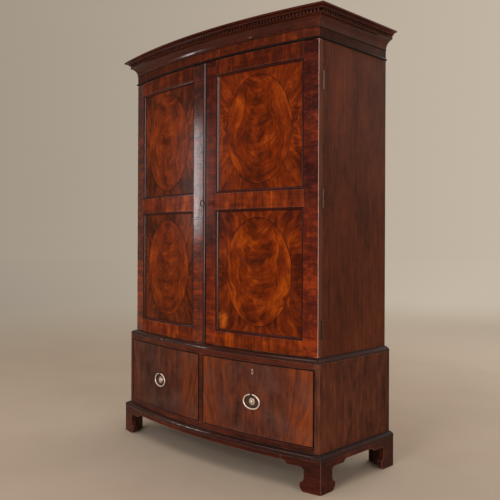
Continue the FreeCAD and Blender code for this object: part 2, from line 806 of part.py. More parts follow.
front_strip = turned("dentil_front_strip", strip_outline("bow_radius"), {})
front_tooth = front_strip.newObject("PartDesign::Pad", "dentil_front_tooth")
front_section = tooth_outline("bow_radius")
front_tooth.Profile = outline(front_strip, "dentil_front_outline", "XZ_Plane", front_section, {})
front_tooth.SideType = "Symmetric"
bind(front_tooth, Length="dentil_width")
front_row = front_strip.newObject("PartDesign::PolarPattern", "dentil_front_row")
front_row.Originals = [front_tooth]
front_row.Axis = (origin_feature(front_strip, "Z_Axis"), [""])
front_strip.Tip = front_row
dentil_turn = "(dentil_front_count - 1) * 2 * asin(dentil_pitch / (2 * (bow_radius + dentil_face)))"
bind(front_row, Occurrences="dentil_front_count", Angle=dentil_turn)
bind(front_strip, **{"Placement.Rotation.Angle": "-asin(1) - (%s) / 2" % dentil_turn})
dentil_front = cut("dentil_front", front_strip, side_space, side_space_left)

strip_section = strip_outline("upper_half_width")
side_strip = padded("dentil_side_strip", "XZ_Plane", strip_section, {}, "2 * half_depth")
side_tooth = side_strip.newObject("PartDesign::Pad", "dentil_side_tooth")
side_section = tooth_outline("upper_half_width")
side_tooth.Profile = outline(side_strip, "dentil_side_outline", "XZ_Plane", side_section, {})
bind(side_tooth, Length="dentil_width")
side_row = side_strip.newObject("PartDesign::LinearPattern", "dentil_side_row")
side_row.Originals = [side_tooth]
side_row.Direction = (origin_feature(side_strip, "Y_Axis"), [""])
side_row.Reversed = True
side_strip.Tip = side_row
bind(side_row, Occurrences="dentil_side_count", Length="(dentil_side_count - 1) * dentil_pitch")
put(side_strip, "0", "half_depth", "0")
dentil_right = cut("dentil_right", side_strip, front_space)
node("cornice_dentils", group("dentils", dentil_front, dentil_right, flip("dentil_left", dentil_right)))

# Waist moulding on the edge of the base top
moulding(
    "waist_moulding",
    [
        ("0", "base_top_z"),
        ("base_step", "base_top_z"),
        ("base_step", "base_top_z + waist_fillet"),
        ("waist_top_width", "upper_bottom_z - waist_quirk"),
        ("waist_top_width", "upper_bottom_z"),
        ("0", "upper_bottom_z"),
    ],
    {2: ("waist_radius", 1)},
)


# Doors, drawn on the right hand
def panel_strip(name, edge, x, z):
    """One mitred length of the moulding round a panel; x and z are the opening's limits."""
    trim = doc.addObject("Part::Wedge", name + "_trim")
    across = edge in ("low", "high")
    start, end = x if across else z
    bind(trim, Xmin=start, Xmax=end, X2min=start + " + moulding_width", X2max=end + " - moulding_width")
    bind(trim, Ymin="0", Ymax="moulding_width")
    ahead = edge in ("high", "near")
    depth = ("-half_depth", "0") if ahead else ("0", "half_depth")
    bind(trim, Zmin=depth[0], Zmax=depth[1], Z2min=depth[0], Z2max=depth[1])
    face = "bow_radius - panel_recess"
    section = [
        ("-moulding_tuck", "0"),
        ("moulding_width", "0"),
        ("moulding_width", "moulding_lip"),
        ("moulding_land", "moulding_rise"),
        ("-moulding_tuck", "moulding_rise"),
    ]
    ovolo = ("moulding_radius", 1)
    if across:
        put(trim, "0", "0", z[0] if edge == "low" else z[1], TIP_UP if edge == "low" else TIP_DOWN)
        if edge == "low":
            corners = [("%s + (%s)" % (face, up), "%s + (%s)" % (z[0], run)) for run, up in section]
            length = turned(name + "_length", corners, {2: ("moulding_radius", -1)})
        else:
            corners = [("%s + (%s)" % (face, up), "%s - (%s)" % (z[1], run)) for run, up in section]
            length = turned(name + "_length", corners, {2: ovolo})
        return meet(name, length, trim)
    side = x[0] if edge == "near" else x[1]
    put(trim, side, "0", "0", X_TO_Z if edge == "near" else X_TO_Z_BACK)
    sign = "" if edge == "near" else "-"
    corners = [("%s(%s)" % (sign, run), "-(%s) - (%s)" % (face, up)) for run, up in section]
    turn = -1 if edge == "near" else 1
    arcs = {2: ("moulding_radius", turn)}
    length = padded(name + "_length", "XY_Plane", corners, arcs, "%s - (%s)" % (z[1], z[0]))
    put(length, "0", "bow_y", z[0], FreeCAD.Rotation(Z_AXIS, 1))
    bind(length, **{"Placement.Rotation.Angle": "asin((%s) / (%s))" % (side, face)})
    return meet(name, length, trim)


def door(name, stile_x):
    """Stiles, rails, panels, panel mouldings and ovals of one door."""
    slab = layer("0", "-door_thickness")
    sheet = layer("-panel_recess", "-panel_recess - panel_thickness")
    skin = layer("-panel_recess", "-panel_recess - veneer_thickness")
    ahead = ("-half_depth", "0")
    whole_z = ("door_low_z", "door_high_z")
    opening_x = (stile_x, "hinge_stile_x")
    centre_x = "(%s + hinge_stile_x) / 2" % stile_x
    blanks = []
    panels = []
    strips = []
    ovals = []
    lower_z = ("bottom_rail_z", "lock_rail_low_z")
    upper_z = ("lock_rail_high_z", "top_rail_z")
    for tier, z in (("lower", lower_z), ("upper", upper_z)):
        part = "%s_%s" % (name, tier)
        tongue_x = (stile_x + " - panel_tongue", "hinge_stile_x + panel_tongue")
        tongue_z = (z[0] + " - panel_tongue", z[1] + " + panel_tongue")
        blank = meet(part + "_blank", span(part + "_sheet", tongue_x, ahead, tongue_z), sheet)
        centre_z = "(%s + %s) / 2" % z
        prism = oval_block(
            part + "_prism",
            "oval_half_width",
            "oval_half_height",
            centre_x,
            "-half_depth",
            centre_z,
            "half_depth",
        )
        oval = meet(part + "_oval", prism, skin)
        blanks.append(blank)
        ovals.append(oval)
        panels.append(cut(part + "_panel", blank, oval))
        for edge in ("low", "high", "near", "far"):
            strips.append(panel_strip("%s_%s" % (part, edge), edge, opening_x, z))
    grooves = group(name + "_grooves", *blanks)
    hinge_x = ("hinge_stile_x", "upper_half_width")
    hinge_blank = meet(name + "_hinge_blank", span(name + "_hinge_board", hinge_x, ahead, whole_z), slab)
    hinge_stile = cut(name + "_hinge_stile", hinge_blank, grooves, right_door_seats)
    meeting_board = span(name + "_meeting_board", ("meeting_x", stile_x), ahead, whole_z)
    meeting_stile = cut(name + "_meeting_groove", meet(name + "_meeting_blank", meeting_board, slab), grooves)
    rails = []
    for place, z in (
        ("bottom", ("door_low_z", "bottom_rail_z")),
        ("lock", ("lock_rail_low_z", "lock_rail_high_z")),
        ("top", ("top_rail_z", "door_high_z")),
    ):
        board = span("%s_%s_board" % (name, place), opening_x, ahead, z)
        blank = meet("%s_%s_blank" % (name, place), board, slab)
        rails.append(cut("%s_%s_rail" % (name, place), blank, grooves))
    return {
        "hinge_stile": hinge_stile,
        "meeting_stile": meeting_stile,
        "rails": group(name + "_rails", *rails),
        "panels": group(name + "_panels", *panels),
        "mouldings": group(name + "_mouldings", *strips),
        "ovals": group(name + "_ovals", *ovals),
    }


right = door("right", "right_stile_x")
left = door("left", "left_stile_x")

# Lock, bolt, key and escutcheon on the right door
lock_x = ("meeting_x + lock_start", "meeting_x + lock_start + lock_width")
lock_z = ("key_z - lock_below_key", "key_z + lock_above_key")
lock_block = span("lock_block", lock_x, ("lock_front_y", "lock_rear_y"), lock_z)
bolt_way = span(
    "bolt_way",
    ("meeting_x", "bolt_x + bolt_length + bolt_clearance"),
    ("bolt_front_y - bolt_clearance", "bolt_rear_y + bolt_clearance"),
    ("bolt_low_z - bolt_clearance", "bolt_high_z + bolt_clearance"),
)
ward = rod("ward", "ward_radius", "ward_depth", "key_inset", "lock_front_y + lock_plate", "key_z", ALONG_Y)
key_way = rod(
    "key_way",
    "shank_radius + shank_clearance",
    "lock_plate + lock_let_in + door_thickness + 2 * cut_overrun",
    "key_inset",
    "door_front_y - cut_overrun",
    "key_z",
    ALONG_Y,
)
node("door_lock_case", cut("lock_case", lock_block, bolt_way, ward, key_way))
bolt_z = ("bolt_low_z", "bolt_high_z")
bolt = span("bolt", ("bolt_x", "bolt_x + bolt_length"), ("bolt_front_y", "bolt_rear_y"), bolt_z)
node("door_lock_bolt", bolt)
shank = rod(
    "shank",
    "shank_radius",
    "key_tip_y - door_front_y + key_reach",
    "key_inset",
    "door_front_y - key_reach",
    "key_z",
    ALONG_Y,
)
bit = span(
    "bit",
    ("key_inset - key_bit_thickness / 2", "key_inset + key_bit_thickness / 2"),
    ("key_tip_y - key_bit_width", "key_tip_y"),
    ("key_z - key_bit_length", "key_z"),
)
bow_outer = oval_block(
    "key_bow_outer",
    "key_bow_half_width + key_bow_half_rim",
    "key_bow_half_height + key_bow_half_rim",
    "0",
    "-key_bow_half_rim",
    "0",
    "2 * key_bow_half_rim",
)
bow_inner = oval_block(
    "key_bow_inner",
    "key_bow_half_width - key_bow_half_rim",
    "key_bow_half_height - key_bow_half_rim",
    "0",
    "-key_bow_half_rim - cut_overrun",
    "0",
    "2 * (key_bow_half_rim + cut_overrun)",
)
bow_loop = group("key_bow", cut("key_bow_loop", bow_outer, bow_inner))
key_bow = put(bow_loop, "key_inset", "key_bow_y", "key_z", FACE_FRONT)
node("door_key", join("key", shank, bit, key_bow))
door_plate = oval_block(
    "door_plate",
    "escutcheon_half_width",
    "escutcheon_half_height",
    "key_inset",
    "door_front_y - escutcheon_thickness",
    "key_z",
    "escutcheon_thickness",
)
node("door_escutcheon", cut("door_escutcheon_plate", door_plate, key_way))
right_meeting = cut("right_meeting_stile", right["meeting_stile"], lock_block, key_way)
node("door_right_stiles", group("right_stiles", right["hinge_stile"], right_meeting))

# Keeper and meeting bead on the left door, drawn on the right hand and turned over
keeper_x = ("meeting_x", "meeting_x + keeper_width")
keeper_y = ("door_rear_y - keeper_let_in", "bolt_rear_y + keeper_wall")
keeper_z = ("bolt_low_z - keeper_wall", "bolt_high_z + keeper_wall")
keeper_block = span("keeper_block", keeper_x, keeper_y, keeper_z)
keeper_slot = span(
    "keeper_slot",
    ("-cut_overrun", "bolt_throw + bolt_clearance"),
    ("bolt_front_y - bolt_clearance", "bolt_rear_y + bolt_clearance"),
    ("bolt_low_z - bolt_clearance", "bolt_high_z + bolt_clearance"),
)
node("door_keeper", flip("keeper", cut("keeper_right", keeper_block, keeper_slot)))
bead_near = "meeting_x"
bead_far = "meeting_x + meeting_bead_width"
bead_back = "door_front_y + meeting_bead_sunk"
bead = padded(
    "meeting_bead",
    "XY_Plane",
    [(bead_near, bead_back), (bead_near, "door_front_y"), (bead_far, "door_front_y"), (bead_far, bead_back)],
    {1: ("meeting_bead_radius", 1)},
    "door_high_z - door_low_z",
)
put(bead, "0", "0", "door_low_z")
bead_seat = span(
    "bead_seat",
    ("0", bead_far),
    ("door_front_y - cut_overrun", bead_back),
    ("door_low_z - cut_overrun", "door_high_z + cut_overrun"),
)
left_meeting = cut("left_meeting_stile", left["meeting_stile"], bead_seat, keeper_block)
node("door_left_meeting_bead", flip("left_meeting_bead", bead))
node("door_left_stiles", flip("left_stiles", group("left_stiles_drawn", left["hinge_stile"], left_meeting)))
for key, label in (
    ("rails", "rails"),
    ("panels", "panels"),
    ("mouldings", "panel_mouldings"),
    ("ovals", "ovals"),
):
    node("door_right_" + label, right[key])
    node("door_left_" + label, flip("door_left_%s_set" % key, left[key]))

# Base carcase
base_front = bow("base_step")
base_y = ("-half_depth", "half_depth")
base_side_x = ("opening_x", "base_half_width")
base_side_blank = span("base_side_blank", base_side_x, base_y, ("base_bottom_z", "base_top_z"))
base_side = meet("base_side", base_side_blank, base_front)
node("base_side_right", base_side)
node("base_side_left", flip("base_side_mirror", base_side))
base_top_blank = span("base_top_blank", stage_x, base_y, ("base_top_z", "upper_bottom_z"))
node("base_top_board", meet("base_top", base_top_blank, bow("0")))
clear_x = ("-opening_x", "opening_x")
rail_blank = span("rail_blank", clear_x, ("-half_depth", "0"), ("opening_high_z", "base_top_z"))
node("base_top_rail", meet("base_rail", rail_blank, layer("base_step", "base_step - base_rail_depth")))
clear_y = ("-half_depth", "inside_rear_y")
base_floor_blank = span("base_floor_blank", clear_x, clear_y, ("base_bottom_z", "opening_low_z"))
node("base_bottom_board", meet("base_floor", base_floor_blank, base_front))
partition_x = ("-partition_width / 2", "partition_width / 2")
partition_blank = span("partition_blank", partition_x, clear_y, ("opening_low_z", "opening_high_z"))
node("base_partition", meet("partition", partition_blank, base_front))
boards("base_back_boards", "opening_x", "base_bottom_z", "base_top_z", "base_back_count")

# Right drawer, and the left one as its mirror image
front_x = ("drawer_near_x", "drawer_far_x")
front_z = ("drawer_low_z", "drawer_high_z")
front_y = ("-2 * half_depth", "0")
bead_outer = span("cock_bead_outer", front_x, front_y, front_z)
bead_inner = span(
    "cock_bead_inner",
    ("drawer_near_x + cock_bead_width", "drawer_far_x - cock_bead_width"),
    front_y,
    ("drawer_low_z + cock_bead_width", "drawer_high_z - cock_bead_width"),
)
bead_layer = layer("base_step + cock_bead_proud", "base_step - cock_bead_depth")
cock_bead = meet("cock_bead", cut("cock_bead_frame", bead_outer, bead_inner), bead_layer)
front_layer = layer("base_step", "base_step - drawer_front_thickness")
front_blank = meet("drawer_front_blank", span("drawer_front_board", front_x, front_y, front_z), front_layer)
behind_front = bow("base_step - drawer_front_thickness")
wall_z = ("opening_low_z + slide_clearance", "drawer_high_z - drawer_wall_drop")
wall_y = ("-half_depth", "drawer_rear_y")
near_x = ("drawer_wall_near_x", "drawer_wall_near_x + drawer_wall")
far_x = ("drawer_wall_far_x - drawer_wall", "drawer_wall_far_x")
near_wall = meet("drawer_near_wall", span("drawer_near_board", near_x, wall_y, wall_z), behind_front)
far_wall = meet("drawer_far_wall", span("drawer_far_board", far_x, wall_y, wall_z), behind_front)
inner_x = (near_x[1], far_x[0])
back_y = ("drawer_rear_y - drawer_wall", "drawer_rear_y")
back_wall = span("drawer_back", inner_x, back_y, ("drawer_floor_z + drawer_floor", wall_z[1]))
floor_z = ("drawer_floor_z", "drawer_floor_z + drawer_floor")
floor_board = span("drawer_floor_board", inner_x, ("-half_depth", "drawer_rear_y"), floor_z)
drawer_bottom = meet("drawer_bottom", floor_board, behind_front)
drawer_box = group("drawer_box", near_wall, far_wall, back_wall, drawer_bottom)

# Keyhole and escutcheon, drawn about the drawer face and stood on the bow
slot_x = ("-keyhole_slot_width / 2", "keyhole_slot_width / 2")
keyhole_y = ("-escutcheon_thickness - cut_overrun", "keyhole_depth")
keyhole_round = rod(
    "keyhole_round",
    "keyhole_radius",
    "keyhole_depth + escutcheon_thickness + cut_overrun",
    "0",
    keyhole_y[0],
    "0",
    ALONG_Y,
)
keyhole = join("keyhole", keyhole_round, span("keyhole_slot", slot_x, keyhole_y, ("-keyhole_drop", "0")))
plate_blank = oval_block(
    "plate_blank",
    "escutcheon_half_width",
    "escutcheon_half_height",
    "0",
    "-escutcheon_thickness",
    "0",
    "escutcheon_thickness",
)
drawer_plate = cut("drawer_plate", plate_blank, keyhole)
escutcheon = stand("drawer_escutcheon", drawer_plate, "handle_x", "handle_y", "drawer_key_z", "handle_lean")
key_hole = stand("drawer_keyhole", keyhole, "handle_x", "handle_y", "drawer_key_z", "handle_lean")
drawer_front = cut("drawer_front", front_blank, cock_bead, key_hole)

# Ring pull, drawn about the centre of its plate with the front towards -Y
back_plate = oval_block(
    "back_plate",
    "plate_half_width",
    "plate_half_height",
    "0",
    "-plate_thickness",
    "0",
    "plate_thickness",
)
boss = doc.addObject("Part::Cone", "boss")
bind(boss, Radius1="boss_foot_radius", Radius2="boss_neck_radius", Height="boss_height")
put(boss, "0", "-plate_thickness", "0", TIP_UP)
boss_bead = doc.addObject("Part::Sphere", "boss_bead")
bind(boss_bead, Radius="boss_bead_radius")
put(boss_bead, "0", "-plate_thickness - boss_height / 2", "0")
dome_width = ("-boss_bead_radius", "boss_bead_radius")
behind_plate = span("behind_plate", dome_width, ("0", "boss_bead_radius"), dome_width)
eye_y = "-ring_standoff"
eye_barrel = rod("eye_barrel", "eye_radius", "eye_length", "-eye_length / 2", eye_y, "ring_half_height", ALONG_X)
eye_neck = span(
    "eye_neck",
    ("-eye_length / 2", "eye_length / 2"),
    (eye_y, "0"),
    ("ring_half_height - eye_neck_height", "ring_half_height"),
)
eye_hole = rod(
    "eye_hole",
    "ring_wire + eye_clearance",
    "eye_length + 2 * cut_overrun",
    "-eye_length / 2 - cut_overrun",
    eye_y,
    "ring_half_height",
    ALONG_X,
)
rosette = []
for place in range(int(number("rosette_count"))):
    petal = doc.addObject("Part::Sphere", "petal")
    bind(petal, Radius="rosette_radius")
    turn = "%d * 4 * asin(1) / rosette_count" % place
    petal_x = "rosette_ring * cos(%s)" % turn
    petal_z = "rosette_ring * sin(%s)" % turn
    rosette.append(put(petal, petal_x, "-plate_thickness - boss_height / 2", petal_z))
handle_body = join("handle_body", back_plate, boss, boss_bead, eye_barrel, eye_neck, *rosette)
handle_plate = cut("handle_plate", handle_body, eye_hole, behind_plate)
plate_right = stand("plate_right", handle_plate, "handle_x", "handle_y", "handle_z", "handle_lean")
ring = oval_ring("ring", "ring_half_width", "ring_half_height", "ring_wire")
ring_ahead = put(group("ring_ahead", ring), "0", eye_y, "0")
ring_right = stand("ring_right", ring_ahead, "handle_x", "handle_y", "handle_z", "handle_lean")

for label, item in (
    ("front", drawer_front),
    ("box", drawer_box),
    ("cock_bead", cock_bead),
    ("escutcheon", escutcheon),
    ("handle_plate", plate_right),
    ("handle_ring", ring_right),
):
    node("drawer_right_" + label, item)
    node("drawer_left_" + label, flip("drawer_left_%s_mirror" % label, item))

# Plinth moulding, aprons, bracket feet and glue blocks
moulding(
    "plinth_moulding",
    [
        ("plinth_moulding_back", "plinth_height"),
        ("plinth_offset", "plinth_height"),
        ("plinth_offset", "base_bottom_z - plinth_quirk - plinth_round_height"),
        ("plinth_offset - plinth_round_width", "base_bottom_z - plinth_quirk"),
        ("plinth_offset - plinth_round_width", "base_bottom_z"),
        ("plinth_moulding_back", "base_bottom_z"),
    ],
    {2: ("plinth_round_radius", 1)},
)
board_layer = layer("board_offset", "board_inner")
apron_z = ("apron_z", "plinth_height")
apron_blank = span("apron_blank", ("foot_span - foot_x", "foot_x - foot_span"), ("-half_depth", "0"), apron_z)
apron_front = meet("apron_front", apron_blank, board_layer)
board_x = ("foot_x - plinth_board", "foot_x")
apron_right = span("apron_right", board_x, ("foot_y + foot_span", "half_depth - foot_span"), apron_z)
node("plinth_aprons", group("aprons", apron_front, apron_right, flip("apron_left", apron_right)))

BRACKET = [
    ("0", "plinth_height"),
    ("0", "0"),
    ("foot_toe", "0"),
    ("foot_bulb", "foot_bulb_rise"),
    ("foot_neck", "foot_neck_low"),
    ("foot_neck", "foot_neck_high"),
    ("foot_spur_near", "foot_spur_rise"),
    ("foot_spur_far", "foot_spur_rise"),
    ("foot_span", "apron_z"),
    ("foot_span", "plinth_height"),
]
BRACKET_ARCS = {
    2: ("foot_bulb_radius", 1),
    3: ("foot_neck_radius", -1),
    5: ("foot_spur_radius", -1),
    7: ("foot_cusp_radius", -1),
}
front_bracket = padded("front_bracket", "XZ_Plane", BRACKET, BRACKET_ARCS, "half_depth")
put(front_bracket, "foot_x", "-half_depth", "0", FACE_LEFT)
front_foot = cut("front_foot", meet("front_bowed", front_bracket, board_layer), side_space)
side_bracket = padded("side_bracket", "XZ_Plane", BRACKET, BRACKET_ARCS, "plinth_board")
put(side_bracket, "foot_x - plinth_board", "foot_y", "0", FACE_REAR)
side_foot = cut("side_foot", side_bracket, front_space)
rear_bracket = padded("rear_bracket", "XZ_Plane", BRACKET, BRACKET_ARCS, "plinth_board")
put(rear_bracket, "foot_x", "half_depth", "0", FACE_FRONT)
brace_x = ("foot_x - plinth_board - rear_brace_width", "foot_x - plinth_board")
rear_brace = span("rear_brace", brace_x, ("half_depth - plinth_board", "half_depth"), ("0", "plinth_height"))
right_feet = group("right_feet", front_foot, side_foot, rear_bracket, rear_brace)
node("bracket_feet", group("feet", right_feet, flip("left_feet", right_feet)))

block_x = ("foot_x - plinth_board - glue_block_width", "foot_x - plinth_board")
block_z = ("glue_block_lift", "plinth_height")
front_block_y = ("-half_depth", "foot_y + plinth_board + glue_block_width")
front_block = meet("front_block", span("front_block_blank", block_x, front_block_y, block_z), bow("board_inner"))
rear_block_y = ("half_depth - plinth_board - glue_block_width", "half_depth - plinth_board")
rear_block = span("rear_block", block_x, rear_block_y, block_z)
right_blocks = group("right_blocks", front_block, rear_block)
node("glue_blocks", group("blocks", right_blocks, flip("left_blocks", right_blocks)))

doc.recompute()

# Every feature has to be sound before anything is written.
for item in doc.Objects:
    bad = [state for state in item.State if state in ("Invalid", "Error")]
    if bad:
        raise RuntimeError("%s is %s" % (item.Name, bad))
    shape = getattr(item, "Shape", None)
    if shape is not None and not item.isDerivedFrom("App::OriginFeature"):
        if shape.isNull() or not shape.isValid():
            raise RuntimeError("%s has no sound shape" % item.Name)
os.makedirs("parts", exist_ok=True)
for label, item in sorted(NODES.items()):
    item.Shape.exportStep("parts/%s.step" % label)
print(len(NODES), "nodes written")
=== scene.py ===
"""Looks of a bow-front linen press, dressed over its fixed frame."""

import logging
import math
from dataclasses import dataclass, replace
from enum import Enum

import bmesh
import bpy
from bmesh.types import BMesh
from bpy.types import Material, Node, NodeSocket, NodeTree
from mathutils import Matrix, Vector


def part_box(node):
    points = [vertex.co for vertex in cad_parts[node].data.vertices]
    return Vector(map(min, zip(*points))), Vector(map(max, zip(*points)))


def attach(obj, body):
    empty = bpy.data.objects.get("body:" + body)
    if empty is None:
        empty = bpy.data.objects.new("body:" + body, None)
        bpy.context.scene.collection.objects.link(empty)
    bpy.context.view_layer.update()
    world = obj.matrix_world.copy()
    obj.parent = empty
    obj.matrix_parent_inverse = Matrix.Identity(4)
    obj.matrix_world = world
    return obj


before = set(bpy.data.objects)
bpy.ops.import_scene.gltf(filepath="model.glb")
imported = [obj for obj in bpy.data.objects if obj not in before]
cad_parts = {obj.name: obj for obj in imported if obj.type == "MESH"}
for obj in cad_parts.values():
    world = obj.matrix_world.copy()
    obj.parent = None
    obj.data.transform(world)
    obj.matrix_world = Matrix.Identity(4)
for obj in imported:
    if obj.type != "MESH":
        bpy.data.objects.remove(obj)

LOG = logging.getLogger("linen_press")
Colour = tuple[int, int, int]
Span = tuple[float, float]
Point = tuple[float, float, float]


def tone(colour: Colour) -> tuple[float, ...]:
    """Turn a colour as the eye sees it into the linear one that a shader takes.

    Args:
        colour: Red, green and blue, from 0 to 255.

    Returns:
        The linear colour, with an alpha of 1.
    """
    darkest = 10
    linear = [((c / 255 + 0.055) / 1.055) ** 2.4 if c > darkest else c / 255 / 12.92 for c in colour]
    return (*linear, 1.0)


class Grain(Enum):
    """The direction that the grain of a piece runs in, as the order of its axes with the grain last."""

    UPRIGHT = (0, 1, 2)
    LEVEL = (1, 2, 0)


class Figure(Enum):
    """The kind of figured veneer on a door panel."""

    OVAL = "oval"
    SPANDREL = "spandrel"


class Rubbed(Enum):
    """The part of a piece of metal that hands keep bright, as the shares of its reach where it turns dull."""

    ALL = None
    BOSS = (0.95, 1.1)
    # The dark middle of the escutcheon: tarnish together with painted shade for the keyhole.
    RIM = (0.72, 0.5)


class Side(Enum):
    """A side of the press for someone who faces it, as its sign along X."""

    LEFT = -1
    RIGHT = 1

    @property
    def word(self) -> str:
        """The side as the names of pieces have it."""
        return self.name.lower()


class Slot(Enum):
    """A material slot of the record that a new piece belongs to."""

    MAHOGANY = "mahogany"
    OAK = "oak"
    STEEL = "steel"


class Value:
    """A node's output, which plain arithmetic turns into math nodes."""

    def __init__(self, tree: "Tree", socket: NodeSocket) -> None:
        """Keep the output, and the tree that its math nodes go into."""
        self.tree, self.socket = tree, socket

    def __add__(self, other: "Feed") -> "Value":
        """This and another together."""
        return self.tree.math("ADD", self, other)

    def __sub__(self, other: "Feed") -> "Value":
        """This less another."""
        return self.tree.math("SUBTRACT", self, other)

    def __rsub__(self, other: float) -> "Value":
        """A number less this."""
        return self.tree.math("SUBTRACT", other, self)

    def __mul__(self, other: "Feed") -> "Value":
        """This times another."""
        return self.tree.math("MULTIPLY", self, other)

    def __truediv__(self, other: "Feed") -> "Value":
        """This divided by another."""
        return self.tree.math("DIVIDE", self, other)

    def __abs__(self) -> "Value":
        """This without its sign."""
        return self.tree.math("ABSOLUTE", self)

    def swing(self, amount: "Feed") -> "Value":
        """Turn a value round one half into a swing to both sides of nothing."""
        return (self - 0.5) * amount

    def fade(self, low: float, high: float, most: float = 1.0) -> "Value":
        """Turn the value into a soft step.

        Args:
            low: Where the step starts.
            high: Where the step ends, which may be below its start.
            most: The result at the end of the step.

        Returns:
            The stepped value, from nothing to the most.
        """
        feeds = {"Value": self, "From Min": low, "From Max": high, "To Max": most}
        return self.tree.take("MapRange", 0, feeds, interpolation_type="SMOOTHSTEP")


Feed = Value | float | tuple[float, ...]


class Tree:
    """A node tree with short calls for the nodes that the finishes use."""

    def __init__(self, tree: NodeTree) -> None:
        """Keep the tree's nodes and links at hand."""
        self.nodes, self.links = tree.nodes, tree.links

    def feed(self, socket: NodeSocket, value: Feed) -> None:
        """Link a socket, or set its value.

        Args:
            socket: The input that is fed.
            value: Another node's output, or a plain number, vector or colour.
        """
        if isinstance(value, Value):
            self.links.new(value.socket, socket)
        else:
            socket.default_value = value

    def node(self, kind: str, feeds: dict[str | int, Feed] | None = None, **settings: object) -> Node:
        """Add a shader node.

        Args:
            kind: The last part of the node's type name.
            feeds: What each of its inputs gets, by name or place.
            settings: Options of the node.

        Returns:
            The new node.
        """
        node = self.nodes.new("ShaderNode" + kind)
        for name, value in settings.items():
            setattr(node, name, value)
        for key, value in (feeds or {}).items():
            self.feed(node.inputs[key], value)
        return node

    def take(
        self, kind: str, output: str | int, feeds: dict[str | int, Feed] | None = None, **settings: object
    ) -> Value:
        """Add a shader node and take one of its outputs, by name or place."""
        return Value(self, self.node(kind, feeds, **settings).outputs[output])

    def math(self, operation: str, *values: Feed, clamp: bool = False) -> Value:
        """Add a math node and take its result."""
        return self.take("Math", 0, dict(enumerate(values)), operation=operation, use_clamp=clamp)

    def dot(self, first: Feed, second: Feed) -> Value:
        """Multiply two vectors into one number."""
        return self.take("VectorMath", "Value", {0: first, 1: second}, operation="DOT_PRODUCT")

    def length(self, vector: Value) -> Value:
        """Measure a vector."""
        return self.take("VectorMath", "Value", {0: vector}, operation="LENGTH")

    def stretch(self, vector: Feed, scale: Feed) -> Value:
        """Multiply a vector by another, part by part."""
        return self.take("VectorMath", "Vector", {0: vector, 1: scale}, operation="MULTIPLY")

    def vector(self, x: Feed, y: Feed, z: Feed = 0.0) -> Value:
        """Make a vector of its parts."""
        return self.take("CombineXYZ", 0, {0: x, 1: y, 2: z})

    def parts(self, vector: Value) -> tuple[Value, ...]:
        """Take a vector apart."""
        return tuple(Value(self, part) for part in self.node("SeparateXYZ", {0: vector}).outputs)

    def mix(self, share: Feed, first: Feed, second: Feed, blend: str = "MIX") -> Value:
        """Mix two colours by a share."""
        feeds = {0: share, 6: first, 7: second}
        return self.take("Mix", 2, feeds, data_type="RGBA", blend_type=blend)

    def cloud(self, cells: Value, detail: float, rough: float) -> Value:
        """Add a noise from 0 to 1, read at a place that is counted in its cells."""
        feeds = {"Vector": cells, "Scale": 1.0, "Detail": detail, "Roughness": rough}
        return self.take("TexNoise", 0, feeds)

    def noise(self, place: Value, cells: Feed, detail: float = 2.0, rough: float = 0.5) -> Value:
        """Add a noise in space.

        Args:
            place: Where the noise is read.
            cells: How many cells there are to a unit, all ways or along each axis.
            detail: How many finer layers it has.
            rough: How strong those layers are.

        Returns:
            The noise from 0 to 1.
        """
        scale = (cells, cells, cells) if isinstance(cells, float) else cells
        return self.cloud(self.stretch(place, scale), detail, rough)

    def flat_noise(
        self, across: Value, up: Value, cells: Span, seed: Feed, detail: float = 3.0, rough: float = 0.5
    ) -> Value:
        """Add a noise over a flat face.

        Args:
            across: The place across the face.
            up: The place up the face.
            cells: How many cells there are to a unit across and up.
            seed: A number that picks another pattern.
            detail: How many finer layers it has.
            rough: How strong those layers are.

        Returns:
            The noise from 0 to 1.
        """
        return self.cloud(self.vector(across * cells[0], up * cells[1], seed), detail, rough)

    def openness(self, distance: float) -> Value:
        """Tell hollows of a size, which come near 0, from open places, which are 1."""
        feeds = {"Distance": distance}
        return self.take("AmbientOcclusion", "AO", feeds, samples=8, only_local=True)


class Group(Tree):
    """A shader node group with named inputs and outputs."""

    def __init__(
        self, name: str, inputs: dict[str, float | tuple[float, ...]], outputs: tuple[str, ...]
    ) -> None:
        """Make an empty group.

        Args:
            name: The group's name.
            inputs: Each input's name and its value where nothing is linked.
            outputs: The outputs' names, of which Color is a colour and the others are numbers.
        """
        self.tree = bpy.data.node_groups.new(name, "ShaderNodeTree")
        super().__init__(self.tree)
        kinds = {3: "NodeSocketVector", 4: "NodeSocketColor"}
        for label, value in inputs.items():
            kind = kinds[len(value)] if isinstance(value, tuple) else "NodeSocketFloat"
            socket = self.tree.interface.new_socket(label, in_out="INPUT", socket_type=kind)
            socket.default_value = value
        for label in outputs:
            kind = "NodeSocketColor" if label == "Color" else "NodeSocketFloat"
            self.tree.interface.new_socket(label, in_out="OUTPUT", socket_type=kind)
        self.inside = self.nodes.new("NodeGroupInput").outputs
        self.out = self.nodes.new("NodeGroupOutput").inputs

    def __getitem__(self, label: str) -> Value:
        """The group's input of a name."""
        return Value(self, self.inside[label])

    def shaded(self, level: Value, dark_span: Span, light_span: Span) -> Value:
        """Turn a level into the group's dark, middle and light colour.

        Args:
            level: What is dark where it is low and light where it is high.
            dark_span: Where dark turns into middle.
            light_span: Where middle turns into light.

        Returns:
            The colour.
        """
        darker = self.mix(level.fade(*dark_span), self["Dark"], self["Middle"])
        return self.mix(level.fade(*light_span), darker, self["Light"])

    def give(self, **results: Value) -> NodeTree:
        """Feed the group's outputs.

        Args:
            results: What each output gives.

        Returns:
            The finished group.
        """
        for label, result in results.items():
            self.feed(self.out[label], result)
        return self.tree


